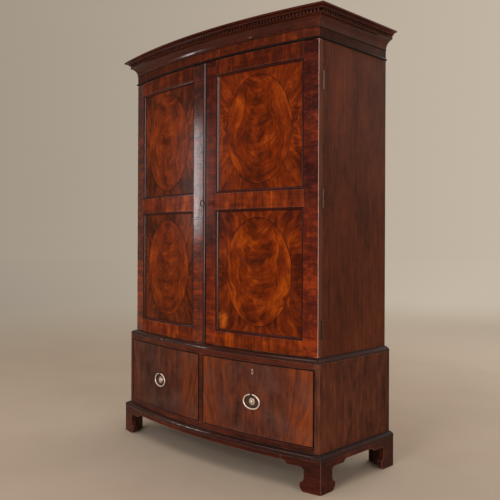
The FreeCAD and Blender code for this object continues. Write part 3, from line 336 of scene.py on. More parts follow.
ORIGIN = (0.0, 0.0, 0.0)
BLACK = (0.0, 0.0, 0.0, 1.0)
DUST = (150, 136, 120)
SHADE_INPUTS = {"Dark": BLACK, "Middle": BLACK, "Light": BLACK}
FIGURE_INPUTS = {"Across": 0.0, "Up": 0.0, "Seed": 0.0, "Lift": 0.0, **SHADE_INPUTS}
FIGURE_DARK, FIGURE_LIGHT = (0.08, 0.55), (0.48, 1.0)
FIBRE_SPAN = (0.44, 0.72)
WOOD_HOLLOW_SHADE, METAL_HOLLOW = 0.012, 0.004


class Effects:
    """The shader node groups that the finishes share."""

    def __init__(self) -> None:
        """Build each group once."""
        self.grain = self.wood_grain()
        self.tiers = self.panel_tiers()
        self.flame = self.flame_figure()
        self.spandrel = self.spandrel_figure()
        self.polish = self.old_polish()
        self.metal = self.metal_age()

    @staticmethod
    def wood_grain() -> NodeTree:
        """Build the streaks, curl, blotches and pores of straight-grained wood, with Z along the grain.

        Returns:
            The group.
        """
        amounts = {"Across": 60.0, "Contrast": 1.0, "Curl": 0.0, "Blotch": 0.0, "Lift": 0.0}
        inputs = {"Position": ORIGIN, **SHADE_INPUTS, **amounts, "Pores": 0.4, "Roughness": 0.4}
        g = Group("wood_grain", inputs, ("Color", "Roughness", "Height"))
        place, across = g["Position"], g["Across"]
        shift = g.noise(place, (6.0, 6.0, 1.6)).swing(0.016)
        shifted = {0: place, 1: g.vector(shift, shift)}
        wavy = g.take("VectorMath", "Vector", shifted, operation="ADD")
        coarse = g.noise(wavy, g.vector(across, across, across * 0.035), 5.0, 0.6)
        thin = across * 6.5
        fine = g.noise(wavy, g.vector(thin, thin, across * 0.14), 3.0, 0.6)
        patch = g.noise(place, (4.5, 4.5, 1.7), 3.0)
        streaks = ((coarse + fine + patch) * (1 / 3)).swing(g["Contrast"] * 2.4)
        curl = g.noise(wavy, (10.0, 10.0, 64.0), 3.0, 0.6).swing(g["Curl"])
        blotch = g.noise(wavy, (30.0, 30.0, 13.0), 4.0, 0.6).swing(g["Blotch"])
        base = g.shaded(streaks + curl + blotch + g["Lift"] + 0.5, (0.12, 0.55), (0.5, 0.95))
        pore = g.noise(wavy, (1900.0, 1900.0, 75.0), 1.0).fade(0.56, 0.7) * g["Pores"]
        return g.give(
            Color=g.mix(pore, base, g.mix(0.62, base, BLACK)),
            Roughness=fine.swing(0.16) + pore * 0.25 + g["Roughness"],
            Height=fine * 0.35 - pore,
        )

    @staticmethod
    def panel_tiers() -> NodeTree:
        """Build the local places on the lower and upper panel of a door: across, up, and which tier.

        Returns:
            The group.
        """
        sizes = {"Middle": 0.0, "Lower": 0.0, "Upper": 0.0, "Half Width": 1.0, "Half Height": 1.0}
        g = Group("panel_tiers", {"Position": ORIGIN, **sizes}, ("Across", "Up", "Tier"))
        x, _, z = g.parts(g["Position"])
        lower, upper = g["Lower"], g["Upper"]
        tier = g.math("GREATER_THAN", z, (lower + upper) * 0.5)
        centre = lower + tier * (upper - lower)
        return g.give(
            Across=(x - g["Middle"]) / g["Half Width"],
            Up=(z - centre) / g["Half Height"],
            Tier=tier,
        )

    @staticmethod
    def flame_figure() -> NodeTree:
        """Build the crotch figure of an oval: bright streaks down the sides and a darker rippled middle.

        Returns:
            The group.
        """
        g = Group("flame_figure", FIGURE_INPUTS, ("Color", "Height"))
        across, up, seed = g["Across"], g["Up"], g["Seed"]
        lean = across + g.flat_noise(across, up, (1.4, 1.8), seed).swing(0.7)
        bent = lean / (1.25 - up * up * 0.55)
        arch = up - lean * lean * 0.9
        streak = g.flat_noise(bent, up, (17.0, 1.3), seed, 5.0, 0.65)
        wave = g.flat_noise(lean, arch, (2.4, 8.5), seed + 7.0, 5.0, 0.65)
        chatter = g.flat_noise(lean, arch, (7.0, 52.0), seed, 2.0, 0.6)
        cloud = g.flat_noise(lean, up, (2.6, 2.6), seed + 3.0)
        side = abs(lean).fade(0.1, 0.75)
        flank = side * (streak.swing(2.0) + 0.1)
        heart = (1.0 - side) * (wave.swing(1.8) + chatter.swing(0.9) - 0.05)
        ends = abs(up).fade(0.45, 1.0, -0.1)
        level = flank + heart + cloud.swing(1.5) + ends + g["Lift"] + 0.5
        base = g.shaded(level, FIGURE_DARK, FIGURE_LIGHT)
        fibre = g.flat_noise(bent, up, (130.0, 10.0), seed, 2.0, 0.6)
        return g.give(Color=g.mix(fibre.fade(*FIBRE_SPAN, 0.65), base, g["Dark"]), Height=fibre)

    @staticmethod
    def spandrel_figure() -> NodeTree:
        """Build quarter-matched veneer round an oval: streaks fan out to the corners and curl at the sides.

        A painted highlight glows in one lower corner.

        Returns:
            The group.
        """
        g = Group("spandrel_figure", {**FIGURE_INPUTS, "Spot": 0.0}, ("Color", "Height"))
        across, up, seed = g["Across"], g["Up"], g["Seed"]
        wide, high = abs(across), abs(up)
        sway = g.flat_noise(wide, high, (2.0, 2.0), seed)
        fan = wide + high * -0.62 + sway.swing(0.5)
        run = wide + high
        streak = g.flat_noise(fan, run, (10.0, 1.5), seed, 4.0, 0.6)
        ripple = g.flat_noise(across, up + sway.swing(0.4), (2.5, 21.0), seed, 4.0, 0.6)
        flank = wide.fade(0.55, 0.9) * high.fade(0.68, 0.2)
        patch = g.flat_noise(across, up, (2.0, 2.2), seed + 5.0)
        curl = (ripple.swing(2.0) + 0.05) * flank
        level = streak.swing(2.2) + patch.swing(1.7) + curl + g["Lift"] + 0.5
        plain = g.shaded(level, FIGURE_DARK, FIGURE_LIGHT)
        # Painted highlight: a bright orange glow over the streaks in one lower corner.
        corner = g.length(g.vector(across + 0.84, up + 0.8))
        highlight_share = corner.fade(0.19, 0.04) * (streak.fade(0.25, 0.55) * g["Spot"])
        highlight_colour = g.mix(1.0, g["Light"], (2.0, 2.8, 2.4, 1.0), "MULTIPLY")
        base = g.mix(highlight_share, plain, highlight_colour)
        fibre = g.flat_noise(fan, run, (120.0, 9.0), seed, 2.0, 0.6)
        return g.give(Color=g.mix(fibre.fade(*FIBRE_SPAN, 0.6), base, g["Dark"]), Height=fibre)

    @staticmethod
    def old_polish() -> NodeTree:
        """Build the age of a wooden surface: dark old polish and painted shade in hollows, stains, rubbed
        edges with a painted highlight, and dust on what faces up.

        Returns:
            The group.
        """
        inputs = {"Color": BLACK, "Roughness": 0.4, "Position": ORIGIN, "Grime": 0.5, "Dust": 0.3}
        edges = {"Wear": 0.3, "Edge": 0.001, "Pale": BLACK}
        g = Group("old_polish", {**inputs, **edges}, ("Color", "Roughness"))
        place, bare, grime = g["Position"], g["Color"], g["Grime"]
        # Painted shade: ambient occlusion darkens the hollows, along with the dark old polish that gathers in
        # them.
        hollow_wax_and_shade = g.openness(WOOD_HOLLOW_SHADE).fade(0.97, 0.5) * grime
        stain = g.noise(place, 34.0, 3.0, 0.6).fade(0.55, 0.8) * (grime * 0.5)
        aged = g.mix(g.math("MAXIMUM", hollow_wax_and_shade, stain), bare, g.mix(0.88, bare, BLACK))
        normal = g.take("NewGeometry", "Normal")
        rounded = g.take("Bevel", 0, {"Radius": g["Edge"]}, samples=4)
        # Rubbed edges turn pale: wear together with a painted highlight on the edge.
        rubbed = g.dot(normal, rounded).fade(0.998, 0.9) * g["Wear"]
        brighter = g.mix(1.0, aged, (1.7, 1.7, 1.7, 1.0), "MULTIPLY")
        worn_and_highlit = g.mix(rubbed, aged, g.mix(1.0, brighter, g["Pale"], "ADD"))
        settled = g.noise(place, 55.0, 4.0, 0.7).fade(0.3, 0.75)
        dust = g.parts(normal)[2].fade(0.82, 0.97) * settled * g["Dust"]
        smear = g.noise(place, 7.0, 3.0, 0.6).swing(0.2)
        return g.give(Color=g.mix(dust, worn_and_highlit, tone(DUST)), Roughness=dust * 0.5 + smear + g["Roughness"])

    @staticmethod
    def metal_age() -> NodeTree:
        """Build old metal: bright where hands rub it, dark in hollows and in spots.

        Returns:
            The group.
        """
        colours = {"Bright": BLACK, "Tarnish": BLACK}
        inputs = {"Position": ORIGIN, **colours, "Amount": 0.5, "Roughness": 0.3}
        g = Group("metal_age", inputs, ("Color", "Roughness", "Height"))
        speck = g.noise(g["Position"], 900.0, 2.0, 0.6)
        marks = g.noise(g["Position"], 160.0, 4.0, 0.6).fade(0.42, 0.72) * speck.fade(0.3, 0.7)
        worst = g.math("MAXIMUM", g.openness(METAL_HOLLOW).fade(0.95, 0.55), marks)
        dark = g.math("MULTIPLY", worst, g["Amount"], clamp=True)
        return g.give(
            Color=g.mix(dark, g["Bright"], g["Tarnish"]),
            Roughness=dark * 0.3 + g["Roughness"],
            Height=speck * 0.3 - dark,
        )


@dataclass(frozen=True)
class Shades:
    """The dark, middle and light colour of a wood."""

    dark: Colour
    middle: Colour
    light: Colour

    def feeds(self) -> dict[str, tuple[float, ...]]:
        """The three colours by the names of the sockets that take them."""
        return {"Dark": tone(self.dark), "Middle": tone(self.middle), "Light": tone(self.light)}


class Surface(Tree):
    """A material whose nodes are made by short calls."""

    def __init__(self, name: str) -> None:
        """Make the material with its shader and its places in metres.

        Args:
            name: The material's name.
        """
        self.material = bpy.data.materials.new(name)
        self.material.use_nodes = True
        super().__init__(self.material.node_tree)
        self.shader = self.nodes["Principled BSDF"]
        places = self.node("TexCoord").outputs
        self.place = Value(self, places["Object"])
        self.normal = Value(self, places["Normal"])

    def shade(self, **feeds: Feed) -> None:
        """Feed inputs of the shader, named with underscores for spaces."""
        for label, value in feeds.items():
            self.feed(self.shader.inputs[label.replace("_", " ")], value)

    def group(self, tree: NodeTree, **feeds: Feed) -> dict[str, Value]:
        """Place a shared effect.

        Args:
            tree: The effect's node group.
            feeds: What each of its inputs gets, with underscores for spaces.

        Returns:
            The outputs of the placed group by name.
        """
        named = {label.replace("_", " "): value for label, value in feeds.items()}
        placed = self.node("Group", named, node_tree=tree)
        return {output.name: Value(self, output) for output in placed.outputs}

    def plain_wood(self, effects: Effects, shown: Value, shades: Shades, where: Value) -> Value:
        """Show plain wood on some of the faces, as far as a mask says where."""
        plain = self.group(effects.grain, Position=self.place, Across=45.0, **shades.feeds())
        return self.mix(where, shown, plain["Color"])

    def plain_back(self, effects: Effects, front: Value, shades: Shades) -> Value:
        """Show plain wood on what faces the back of the press."""
        return self.plain_wood(effects, front, shades, self.parts(self.normal)[1].fade(0.4, 0.6))

    def relief(self, height: Value, depth: float, strength: float) -> None:
        """Give the shader a fine relief of some depth in metres."""
        feeds = {"Height": height, "Strength": strength, "Distance": depth}
        self.shade(Normal=self.take("Bump", 0, feeds))


WOOD_RELIEF, METAL_RELIEF = 0.00025, 0.00015
COAT_ROUGHNESS = 0.14
COAT_TURN = (0.42, 0.62)
SIDE_TURN = (0.8, 0.9)
HIGHLIGHT_CORNER_FADES = (0.004, 0.006)


@dataclass(frozen=True)
class Polish:
    """How far a wooden surface is polished, darkened by grime and painted shade, rubbed and dusty.

    The coat is waxed, on what is turned sideways. Rubbed edges turn pale, as wear together with a painted
    highlight. A corner keeps them to what is further out along X and further forward along Y than its two
    numbers.
    """

    gloss: float = 0.12
    coat: float = 0.0
    grime: float = 0.6
    dust: float = 0.1
    wear: float = 0.5
    edge: float = 0.0025
    # The pale of rubbed edges: wear together with a painted highlight.
    pale: Colour = (118, 94, 82)
    corner: Span | None = None
    relief: float = 0.3

    def wear_and_highlight_share(self, s: Surface) -> Feed:
        """Tell how far the edges are rubbed pale, as wear together with a painted highlight.

        Args:
            s: The surface.

        Returns:
            One number, or a mask where only a corner gets the pale edge of the painted highlight.
        """
        if not self.corner:
            return self.wear
        # Painted highlight: only the outer front corner of a door gets the pale edge.
        x, y, _ = s.parts(s.place)
        out, forward = self.corner
        outward = abs(x).fade(out, out + HIGHLIGHT_CORNER_FADES[0], self.wear)
        return outward * y.fade(forward, forward - HIGHLIGHT_CORNER_FADES[1])

    def apply(
        self,
        s: Surface,
        effects: Effects,
        colour: Value,
        roughness: Feed,
        height: Value,
        gap_shade: Value | None = None,
    ) -> None:
        """Age a wooden surface and give it its waxed coat.

        Args:
            s: The surface.
            effects: The shared shader node groups.
            colour: The bare wood's colour.
            roughness: The bare wood's roughness.
            height: The fine relief of the wood.
            gap_shade: How far each place is darkened by painted shade and old wax in the gap beside what it
                shuts against.
        """
        aged = s.group(
            effects.polish,
            Color=colour,
            Roughness=roughness,
            Position=s.place,
            Grime=self.grime,
            Dust=self.dust,
            Wear=self.wear_and_highlight_share(s),
            Edge=self.edge,
            Pale=tone(self.pale),
        )
        shown = aged["Color"] if gap_shade is None else s.mix(gap_shade, aged["Color"], BLACK)
        s.shade(Base_Color=shown, Roughness=aged["Roughness"], Specular_IOR_Level=self.gloss)
        s.relief(height, WOOD_RELIEF, self.relief)
        if self.coat:
            turned = abs(s.parts(s.normal)[0])
            s.shade(Coat_Weight=turned.fade(*COAT_TURN, self.coat), Coat_Roughness=COAT_ROUGHNESS)


DRY = Polish(gloss=0.12, grime=0.5, dust=0.35, wear=0.2, relief=0.5)
PLAIN_SHADES = Shades((74, 38, 24), (106, 60, 38), (132, 80, 52))
PINE_SHADES = Shades((92, 62, 38), (132, 94, 58), (158, 120, 78))


@dataclass(frozen=True)
class Finish:
    """Anything that can be put on a piece."""

    name: str

    def paint(self, s: Surface, effects: Effects) -> None:
        """Lay the finish on a surface, with the shared shader node groups."""
        raise NotImplementedError

    def material(self, effects: Effects) -> Material:
        """Make the material of this finish.

        Args:
            effects: The shared shader node groups.

        Returns:
            The material.
        """
        s = Surface(self.name)
        self.paint(s, effects)
        return s.material


@dataclass(frozen=True)
class WoodFinish(Finish):
    """Straight-grained wood, with painted shadow lines at some heights and a painted gap shadow along X."""

    shades: Shades
    grain: Grain = Grain.UPRIGHT
    across: float = 60.0
    contrast: float = 1.0
    curl: float = 0.0
    blotch: float = 0.0
    # Painted light and shade: the level of the wood rises along this direction, counted from the middle one
    # metre up.
    shading_slope: Point = ORIGIN
    side_shade: float = 0.0
    cornice_shade: float = 0.0
    cornice_shade_span: Span = (1.3, 1.75)
    pores: float = 0.6
    roughness: float = 0.36
    side_rough: float = 0.0
    side_span: Span = (0.6, 0.612)
    polish: Polish = Polish()
    back: Shades | None = None
    sides: Shades | None = None
    shadow_lines: tuple[float, ...] = ()
    shadow_line_reach: float = 0.0022
    shadow_line_core: float = 0.4
    shadow_line_dark: float = 0.92
    shaded_seam: Span | None = None
    shaded_seam_core: float = 0.6
    shaded_seam_dark: float = 0.94

    def paint(self, s: Surface, effects: Effects) -> None:
        """Lay the finish on a surface.

        Args:
            s: The surface.
            effects: The shared shader node groups.
        """
        x, _, z = parts = s.parts(s.place)
        turned = abs(s.parts(s.normal)[0])
        # Painted shade: faces turned sideways and the wood under the cornice are darkened.
        painted_shade = s.math("MULTIPLY_ADD", turned, self.side_shade, z.fade(*self.cornice_shade_span, self.cornice_shade))
        wood = s.group(
            effects.grain,
            Position=s.vector(*(parts[axis] for axis in self.grain.value)),
            Across=self.across,
            Contrast=self.contrast,
            Curl=self.curl,
            Blotch=self.blotch,
            Lift=s.dot(s.place, self.shading_slope) - self.shading_slope[2] - painted_shade,
            Pores=self.pores,
            Roughness=self.roughness,
            **self.shades.feeds(),
        )
        colour = s.plain_back(effects, wood["Color"], self.back) if self.back else wood["Color"]
        if self.sides:
            colour = s.plain_wood(effects, colour, self.sides, turned.fade(*SIDE_TURN))
        # Painted shadow lines: near each listed height the wood turns almost black, for the shadows along the
        # mouldings.
        for height in self.shadow_lines:
            core = self.shadow_line_reach * self.shadow_line_core
            near = abs(z - height).fade(self.shadow_line_reach, core, self.shadow_line_dark)
            colour = s.mix(near, colour, BLACK)
        gap_shade = None
        # Painted shade, with some dark old wax: the wood darkens in the gap beside the meeting bead, within
        # the given reach.
        if self.shaded_seam:
            middle, reach = self.shaded_seam
            gap_shade = abs(x - middle).fade(reach, reach * self.shaded_seam_core, self.shaded_seam_dark)
        rough = wood["Roughness"] + abs(x).fade(*self.side_span, self.side_rough)
        self.polish.apply(s, effects, colour, rough, wood["Height"], gap_shade)


@dataclass(frozen=True)
class BoardFinish(Finish):
    """Boards side by side, each of its own tone, with nails along their ends."""

    shades: Shades
    first_x: float
    width: float
    nail_rows: tuple[float, ...]
    nail_inset: float = 0.4
    nail_radius: float = 0.0028
    nail_colour: Colour = (40, 32, 28)
    stain_span: Span = (0.022, 0.002)
    stain_share: float = 0.5
    roughness: float = 0.66

    def paint(self, s: Surface, effects: Effects) -> None:
        """Lay the finish on a surface.

        Args:
            s: The surface.
            effects: The shared shader node groups.
        """
        x, y, z = s.parts(s.place)
        boards = (x - self.first_x) / self.width
        count = {"W": s.math("FLOOR", boards)}
        pick = s.take("TexWhiteNoise", "Value", count, noise_dimensions="1D")
        wood = s.group(
            effects.grain,
            Position=s.vector(x, y, z + pick * 9.0),
            Across=34.0,
            Contrast=1.3,
            Lift=pick.swing(0.5),
            Pores=0.15,
            Roughness=self.roughness,
            **self.shades.feeds(),
        )
        aside = (abs(s.math("FRACT", boards) - 0.5) - self.nail_inset) * self.width
        nearest = 1.0
        for row in self.nail_rows:
            nearest = s.math("MINIMUM", s.length(s.vector(aside, z - row)), nearest)
        nail = tone(self.nail_colour)
        stained = s.mix(nearest.fade(*self.stain_span, self.stain_share), wood["Color"], nail)
        head = nearest.fade(self.nail_radius * 1.2, self.nail_radius)
        DRY.apply(s, effects, s.mix(head, stained, nail), wood["Roughness"], wood["Height"] - head)


@dataclass(frozen=True)
class FigureFinish(Finish):
    """Figured veneer on the panels of one door."""

    figure: Figure
    shades: Shades
    middle_x: float
    half_width: float
    half_height: float
    seed: float
    lower_z: float
    upper_z: float
    upper_seed: float = 11.3
    upper_lift: float = -0.05
    # Strength of the painted highlight in a lower corner of the lower panel.
    corner_highlight: float = 0.0
    roughness: float = 0.26
    polish: Polish = Polish(gloss=0.07, grime=0.5, dust=0.0, wear=0.0)

    def paint(self, s: Surface, effects: Effects) -> None:
        """Lay the finish on a surface.

        Args:
            s: The surface.
            effects: The shared shader node groups.
        """
        place = s.group(
            effects.tiers,
            Position=s.place,
            Middle=self.middle_x,
            Lower=self.lower_z,
            Upper=self.upper_z,
            Half_Width=self.half_width,
            Half_Height=self.half_height,
        )
        upper = place["Tier"]
        feeds = {
            "Across": place["Across"],
            "Up": place["Up"],
            "Seed": upper * self.upper_seed + self.seed,
            "Lift": upper * self.upper_lift,
            **self.shades.feeds(),
        }
        if self.figure is Figure.OVAL:
            wood = s.group(effects.flame, **feeds)
        else:
            wood = s.group(effects.spandrel, Spot=(1.0 - upper) * self.corner_highlight, **feeds)
        colour = s.plain_back(effects, wood["Color"], PLAIN_SHADES)
        self.polish.apply(s, effects, colour, self.roughness, wood["Height"])


@dataclass(frozen=True)
class DrawerFinish(Finish):
    """Veneer of a drawer front: dark upright grain, with warm orange flames towards both ends."""

    middle_x: float
    seed: float
    flame_share: float
    lean: float
    shades: Shades
    half_width: float = 0.2935
    low_z: float = 0.1725
    high_z: float = 0.4775
    flame: Colour = (152, 66, 16)
    bloom: Colour = (92, 64, 55)
    bloom_share: float = 0.5
    roughness: float = 0.34
    polish: Polish = Polish(gloss=0.1, grime=0.6, dust=0.0, wear=0.3)

    def paint(self, s: Surface, effects: Effects) -> None:
        """Lay the finish on a surface.

        Args:
            s: The surface.
            effects: The shared shader node groups.
        """
        x, _, z = s.parts(s.place)
        across = (x - self.middle_x) / self.half_width
        up = (z - self.low_z) / (self.high_z - self.low_z)
        wide = abs(across + 0.05)
        flank = wide.fade(0.3, 0.95)
        bent = wide + s.math("POWER", 1.0 - up, 2.0) * 0.34 * flank
        streak = s.flat_noise(bent, up, (13.0, 1.0), self.seed, 5.0, 0.65)
        wood = s.group(
            effects.grain,
            Position=s.place,
            Across=30.0,
            Contrast=1.2,
            Blotch=1.7,
            Lift=across * self.lean,
            Pores=0.6,
            Roughness=self.roughness,
            **self.shades.feeds(),
        )
        warm = flank * streak.fade(0.3, 0.72, self.flame_share)
        smoke = s.flat_noise(across, up, (2.2, 2.4), self.seed + 6.0, 4.0, 0.55)
        figured = s.mix(warm, wood["Color"], tone(self.flame))
        bloomed = s.mix(smoke.fade(0.42, 0.72, self.bloom_share), figured, tone(self.bloom))
        colour = s.plain_back(effects, bloomed, PLAIN_SHADES)
        self.polish.apply(s, effects, colour, wood["Roughness"], wood["Height"])


@dataclass(frozen=True)
class MetalFinish(Finish):
    """Old metal with tarnish in its hollows and where no hand rubs it."""

    bright: Colour
    tarnish: Colour
    amount: float = 0.6
    roughness: float = 0.34
    metallic: float = 0.8
    rubbed: Rubbed = Rubbed.ALL
    centre: Span = (0.0, 0.0)
    reach: Span = (1.0, 1.0)
    dullest: float = 0.94
    relief: float = 0.3

    def paint(self, s: Surface, effects: Effects) -> None:
        """Lay the finish on a surface.

        Args:
            s: The surface.
            effects: The shared shader node groups.
        """
        metal = s.group(
            effects.metal,
            Position=s.place,
            Bright=tone(self.bright),
            Tarnish=tone(self.tarnish),
            Amount=self.amount,
            Roughness=self.roughness,
        )
        colour = metal["Color"]
        # Away from the rubbed part the metal turns to its tarnish colour; on the escutcheon this dark middle
        # is also painted shade for the keyhole.
        if self.rubbed is not Rubbed.ALL:
            x, _, z = s.parts(s.place)
            aside = (x - self.centre[0]) / self.reach[0]
            above = (z - self.centre[1]) / self.reach[1]
            dull = s.length(s.vector(aside, above)).fade(*self.rubbed.value, self.dullest)
            colour = s.mix(dull, colour, tone(self.tarnish))
        s.shade(Base_Color=colour, Roughness=metal["Roughness"], Metallic=self.metallic)
        s.relief(metal["Height"], METAL_RELIEF, self.relief)


WAXED_RUN = Polish(gloss=0.12, grime=0.9, dust=0.0, wear=0.4, edge=0.001, relief=0.12)
COVE_RUN = replace(WAXED_RUN, gloss=0.26, relief=0.06)
RUBBED_RUN = replace(WAXED_RUN, gloss=0.3, wear=0.5, relief=0.06)
WAXED_EDGE = replace(WAXED_RUN, gloss=0.15, coat=1.0, wear=0.3, relief=0.06)
DULL_EDGE = replace(WAXED_EDGE, coat=0.35)
SIDE_POLISH = Polish(gloss=0.06, wear=0.6, edge=0.003)
# Painted highlight: a bright pale line down the outer front edge of each door, kept to that corner by the
# mask.
HIGHLIGHTED_BAND_POLISH = Polish(
    gloss=0.4, wear=1.0, edge=0.004, pale=(198, 170, 160), corner=(0.588, -0.16), relief=0.12
)
SIDE_WOOD = WoodFinish(
    "side_mahogany",
    Shades((60, 28, 16), (90, 43, 25), (116, 60, 34)),
    across=120.0,
    contrast=1.25,
    blotch=0.55,
    # Painted shade: the sides darken towards the top.
    shading_slope=(0.0, 0.0, -0.14),
    roughness=0.42,
    polish=SIDE_POLISH,
)
BASE_SIDE_WOOD = WoodFinish(
    "base_side_mahogany",
    Shades((56, 29, 20), (88, 46, 31), (112, 61, 42)),
    across=75.0,
    contrast=1.3,
    blotch=1.3,
    roughness=0.4,
    polish=SIDE_POLISH,
)
FRAME_WOOD = WoodFinish(
    "rail_mahogany",
    Shades((64, 21, 7), (105, 38, 10), (156, 65, 12)),
    across=34.0,
    contrast=1.1,
    curl=0.7,
    blotch=1.3,
    # Painted light: the rails grow a little lighter towards the right.
    shading_slope=(0.05, 0.0, 0.0),
    # Painted shadow of the cornice on the upper rails.
    cornice_shade=0.22,
    roughness=0.3,
    polish=Polish(gloss=0.08),
    back=PLAIN_SHADES,
)
LEFT_BAND_WOOD = WoodFinish(
    "left_crossbanded_mahogany",
    Shades((50, 16, 11), (88, 30, 15), (140, 52, 14)),
    Grain.LEVEL,
    across=40.0,
    curl=0.6,
    blotch=1.3,
    # Painted shade: the stiles darken towards the top, under the cornice.
    shading_slope=(0.0, 0.0, -0.3),
    roughness=0.17,
    polish=HIGHLIGHTED_BAND_POLISH,
    back=PLAIN_SHADES,
    sides=Shades((70, 38, 27), (96, 54, 39), (116, 68, 50)),
)
RIGHT_BAND_WOOD = replace(
    LEFT_BAND_WOOD,
    name="right_crossbanded_mahogany",
    roughness=0.22,
    polish=replace(HIGHLIGHTED_BAND_POLISH, gloss=0.12),
    # Painted shade in the gap between this stile and the meeting bead.
    shaded_seam=(0.001, 0.006),
)
FRIEZE_WOOD = WoodFinish(
    "frieze_mahogany",
    Shades((48, 17, 8), (77, 28, 10), (130, 54, 12)),
    across=30.0,
    contrast=0.7,
    curl=0.5,
    blotch=1.2,
    # Painted light and shade: the frieze grows lighter towards the right.
    shading_slope=(0.25, 0.0, 0.0),
    # Painted shade on the frieze's faces that turn sideways.
    side_shade=0.45,
    roughness=0.38,
    polish=Polish(gloss=0.08),
    back=PINE_SHADES,
)
# The listed heights get painted shadow lines.
CORNICE_WOOD = WoodFinish(
    "cornice_mahogany",
    Shades((36, 13, 9), (66, 25, 15), (98, 40, 20)),
    Grain.LEVEL,
    across=110.0,
    blotch=0.5,
    roughness=0.3,
    polish=WAXED_RUN,
    shadow_lines=(1.836, 1.8795, 1.8935),
    shadow_line_reach=0.0016,
)
COVE_WOOD = replace(
    CORNICE_WOOD, name="cove_mahogany", roughness=0.15, polish=COVE_RUN, shadow_lines=(1.836, 1.8795)
)
# Waist and plinth: the listed heights get painted shadow lines.
WAIST_WOOD = WoodFinish(
    "waist_mahogany",
    Shades((24, 8, 6), (49, 16, 10), (76, 29, 14)),
    Grain.LEVEL,
    across=110.0,
    blotch=0.5,
    roughness=0.16,
    side_rough=0.6,
    polish=RUBBED_RUN,
    shadow_lines=(0.5035, 0.522),
    shadow_line_reach=0.0034,
)
PLINTH_WOOD = replace(WAIST_WOOD, name="plinth_mahogany", shadow_lines=(0.1305, 0.1485), shadow_line_reach=0.003)
RIGHT_MOULDING = WoodFinish(
    "right_moulding_mahogany",
    Shades((30, 10, 7), (56, 19, 11), (84, 32, 15)),
    across=110.0,
    blotch=0.5,
    roughness=0.22,
    polish=WAXED_EDGE,
)
LEFT_MOULDING = replace(RIGHT_MOULDING, name="left_moulding_mahogany", polish=DULL_EDGE)
FOOT_WOOD = WoodFinish(
    "foot_mahogany",
    Shades((34, 11, 7), (68, 23, 12), (104, 41, 18)),
    Grain.LEVEL,
    across=70.0,
    contrast=1.2,
    blotch=0.9,
    roughness=0.38,
    polish=Polish(gloss=0.14, wear=0.7, edge=0.004),
)
BASE_WOOD = WoodFinish(
    "base_mahogany",
    Shades((40, 15, 10), (76, 31, 19), (110, 48, 25)),
    Grain.LEVEL,
    across=70.0,
    blotch=0.9,
    polish=Polish(gloss=0.14),
)
# Near-black beads: dark wood together with painted shade, for the shadow line under the frieze and the dark
# lines round the drawers.
SHADOW_BEAD_WOOD = WoodFinish(
    "dark_bead_mahogany",
    Shades((12, 5, 4), (22, 8, 6), (42, 16, 10)),
    Grain.LEVEL,
    across=110.0,
    polish=Polish(gloss=0.1, dust=0.0, wear=0.1, edge=0.001),
)
LINE_WOOD = WoodFinish(
    "dark_stringing",
    Shades((12, 4, 2), (22, 8, 3), (40, 16, 6)),
    across=300.0,
    contrast=1.4,
    pores=0.1,
    polish=Polish(gloss=0.08, dust=0.0, wear=0.0),
)
OAK = WoodFinish(
    "drawer_oak",
    Shades((102, 72, 42), (150, 112, 70), (178, 142, 94)),
    Grain.LEVEL,
    across=90.0,
    pores=0.7,
    roughness=0.6,
    polish=DRY,
)
END_OAK = WoodFinish(
    "end_grain_oak",
    Shades((76, 50, 28), (108, 76, 44), (136, 102, 64)),
    across=260.0,
    pores=0.7,
    roughness=0.7,
    polish=DRY,
)
LEVEL_PINE = WoodFinish(
    "level_pine", PINE_SHADES, Grain.LEVEL, across=34.0, contrast=1.3, pores=0.15, roughness=0.66, polish=DRY
)
DARK_PINE = replace(
    LEVEL_PINE,
    name="shadowed_pine",
    shades=Shades((34, 21, 14), (56, 36, 24), (78, 52, 34)),
    contrast=1.0,
    roughness=0.7,
)
UPPER_BOARDS = BoardFinish("upper_back_pine", PINE_SHADES, -0.5823, 0.23292, (0.537, 1.155, 1.773))
BASE_BOARDS = BoardFinish("base_back_pine", PINE_SHADES, -0.6023, 0.30115, (0.165, 0.487))
BRIGHT_BRASS = MetalFinish(
    "bright_brass", (242, 216, 202), (128, 98, 82), amount=0.4, roughness=0.36, metallic=0.6
)
HINGE_BRASS = MetalFinish("hinge_brass", (78, 58, 48), (40, 28, 22), amount=0.8, roughness=0.24)
DULL_BRASS = MetalFinish(
    "dull_brass", (92, 66, 48), (48, 30, 20), amount=0.8, roughness=0.42, metallic=0.7
)
FILED_STEEL = MetalFinish("filed_steel", (150, 148, 145), (72, 66, 60), roughness=0.36)
KEY_METAL = MetalFinish("key_metal", (128, 106, 84), (52, 38, 28), amount=0.7, roughness=0.38)


class Finisher:
    """Makes each finish once."""

    def __init__(self) -> None:
        """Start with the shared effects and no material made."""
        self.effects = Effects()
        self.made: dict[Finish, Material] = {}

    def material(self, finish: Finish) -> Material:
        """Give the one material of a finish.

        Args:
            finish: The finish.

        Returns:
            Its material.
        """
        if finish not in self.made:
            self.made[finish] = finish.material(self.effects)
        return self.made[finish]


